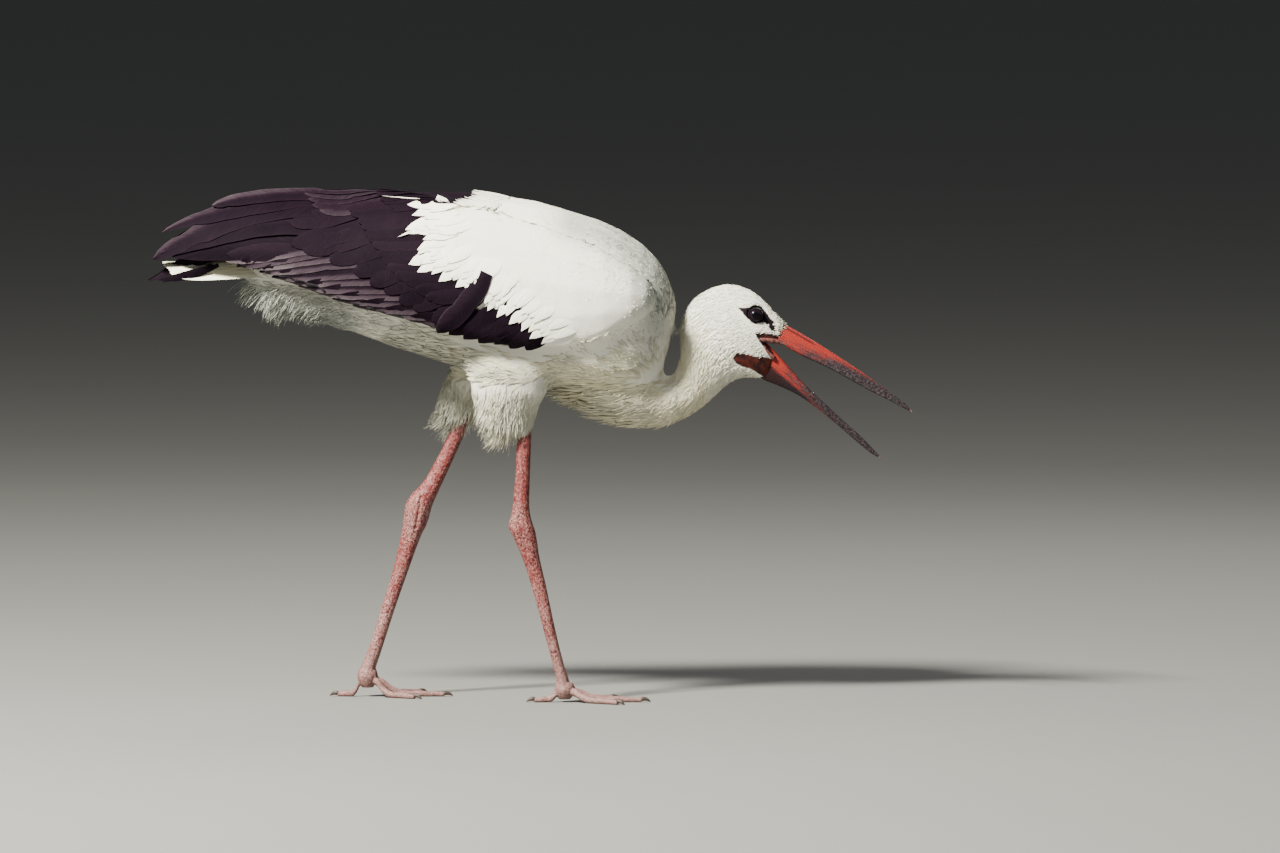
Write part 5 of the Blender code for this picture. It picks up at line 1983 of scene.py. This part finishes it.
@dataclass
class Legs:
    """Bare legs and feet, each one skin under small scales, with a claw on every toe.

    A shank's upper end is drawn out by tuck, along its lean for each side, so that it starts inside the
    thigh. creases are the folds beside the heels: x and z of both ends of each, and the leg's y.
    """

    toes: tuple = ("middle", "outer", "inner", "hind")
    voxel: float = 0.72
    rounds: int = 7
    scale_size: float = 1.2
    relief: float = 0.3
    tuck: float = 16.0
    leans: tuple = (0.05, 0.5)
    creases: tuple = ((-12, 196, -4, 164, -39), (-119, 214, -124, 186, 39))
    claw_half: tuple = (2.3, 2.5)
    claw_level: float = 3.5
    claw_arch: float = 0.8
    claw_drop: float = 3.2
    claw_rings: int = 14
    claw_around: int = 14

    def build(self) -> list[Piece]:
        """Builds both legs and all claws."""
        made = []
        skin, horn = LegSkin().material(), CLAW_HORN.material()
        for number, side in enumerate(Side):
            word = side.word
            nodes = [f"{part}_{word}" for part in ("shank", "tarsus", "foot")]
            nodes += [f"toe_{word}_{toe}" for toe in self.toes]
            leg = one_skin(f"leg_{word}", nodes, self.voxel, self.rounds)
            self.tuck_in(leg, box_of(f"shank_{word}")[1][2], self.leans[number])
            self.scale_over(leg, 81 + number)
            made.append(finish_piece(leg, skin, nodes))
            for toe in self.toes:
                made.append(finish_piece(self.claw(word, toe), horn, [f"claw_{word}_{toe}"]))
        return made

    def tuck_in(self, leg: Piece, top: float, lean: float) -> None:
        """Draws a shank out from just under its top, along its own lean."""
        points = read_vertices(leg.data)[0]
        rise = self.tuck * smoothstep(points[:, 2], top - 16, top)
        move_vertices(leg.data, points + rise[:, None] * np.array([lean, 0, 1]))

    def scale_over(self, leg: Piece, seed: int) -> None:
        """Raises small scales: a vertex sinks by how evenly it lies between its two nearest scale centres."""
        centres = Hide(leg.data).scatter(
            lambda at: np.ones(len(at), bool), lambda at: np.full(len(at), self.scale_size), seed)
        tree = grow_tree(centres)
        points, normals = read_vertices(leg.data)
        found = [tree.find_n(point, 2) for point in points.tolist()]
        near = np.array([(pair[0][2], pair[1][2]) for pair in found])
        owner = np.array([pair[0][1] for pair in found])
        dome = smoothstep(near[:, 1] - near[:, 0], 0.0, 0.6)
        raised = (dome - 0.75) * self.relief * smoothstep(points[:, 2], 0.2, 1.5)
        for *line, y in self.creases:
            gap = from_line(points, line, 0.1)
            fold = 0.5 * np.exp(-((gap / 6) ** 2)) - 1.5 * np.exp(-((gap / 1.6) ** 2))
            raised = raised + np.where(np.abs(points[:, 1] - y) < 25, fold, 0)
        points = points + normals * raised[:, None]
        level = np.maximum(points[:, 2], 0)
        points[:, 2] = level
        move_vertices(leg.data, points)
        write_marks(leg.data, {
            "furrow": 1 - dome,
            "chalk": np.random.default_rng(seed).random(len(centres))[owner],
            "worn": 0.3 * smoothstep(level, 180, 60) + 0.2 * np.exp(-(((level - 190) / 22) ** 2)),
            "grime": 0.45 * smoothstep(level, 60, 5),
        })

    def claw(self, word: str, toe: str) -> Piece:
        """A claw: rings that shrink along a path which arches off the toe's end and down to the floor.

        Args:
            word: its side.
            toe: its toe.

        Returns:
            The piece.
        """
        low, high = box_of(f"claw_{word}_{toe}")
        middle = (low + high) / 2
        heading = unit((middle - sum(box_of(f"foot_{word}")) / 2) * np.array([1, 1, 0]))
        across = np.array([-heading[1], heading[0], 0])
        reach = (np.abs(heading) * (high - low)).sum() / 2 - np.abs(across * (high - low)).sum() * 0.12
        at = np.linspace(0, 1, self.claw_rings)[:, None]
        turn = (np.arange(self.claw_around) / self.claw_around * 2 * math.pi)[None]
        slim = np.sqrt(1 - 0.985 * at**1.6)
        height = self.claw_level + self.claw_arch * np.sin(at * math.pi * 0.8) - self.claw_drop * at**2.2
        forward = (-1.25 + 2.2 * at) * reach
        level = height + self.claw_half[1] * slim * np.sin(turn)
        points = middle * np.array([1, 1, 0]) + forward[..., None] * heading
        points = points + across * (self.claw_half[0] * slim * np.cos(turn))[..., None]
        points = points + np.array([0, 0, 1]) * np.maximum(level, 0.05)[..., None]
        quads = ring_quads(1, self.claw_rings, self.claw_around)
        return make_piece(f"claw_{word}_{toe}_horn", points, quads, {})


def main() -> None:
    """Builds the stork and its studio, in order."""
    logging.basicConfig(level=logging.INFO, format="%(message)s")
    Studio().build()
    skin = Skin()
    body = skin.build()
    hide = Hide(body.data)
    BodyCoat(hide, skin).build()
    wings = [f"wing_{side.word}_{part}" for side in Side for part in ("coverts", "secondaries", "primaries")]
    WingPlumage({view: Face(["trunk", *wings], view) for view in View}).build()
    Tail().build()
    horn = BillHorn().material()
    for mandible in (UPPER, LOWER):
        mandible.build(horn)
    Mouth().build()
    Eyes().build()
    Legs().build()
    bpy.context.view_layer.update()


if __name__ == "__main__":
    main()
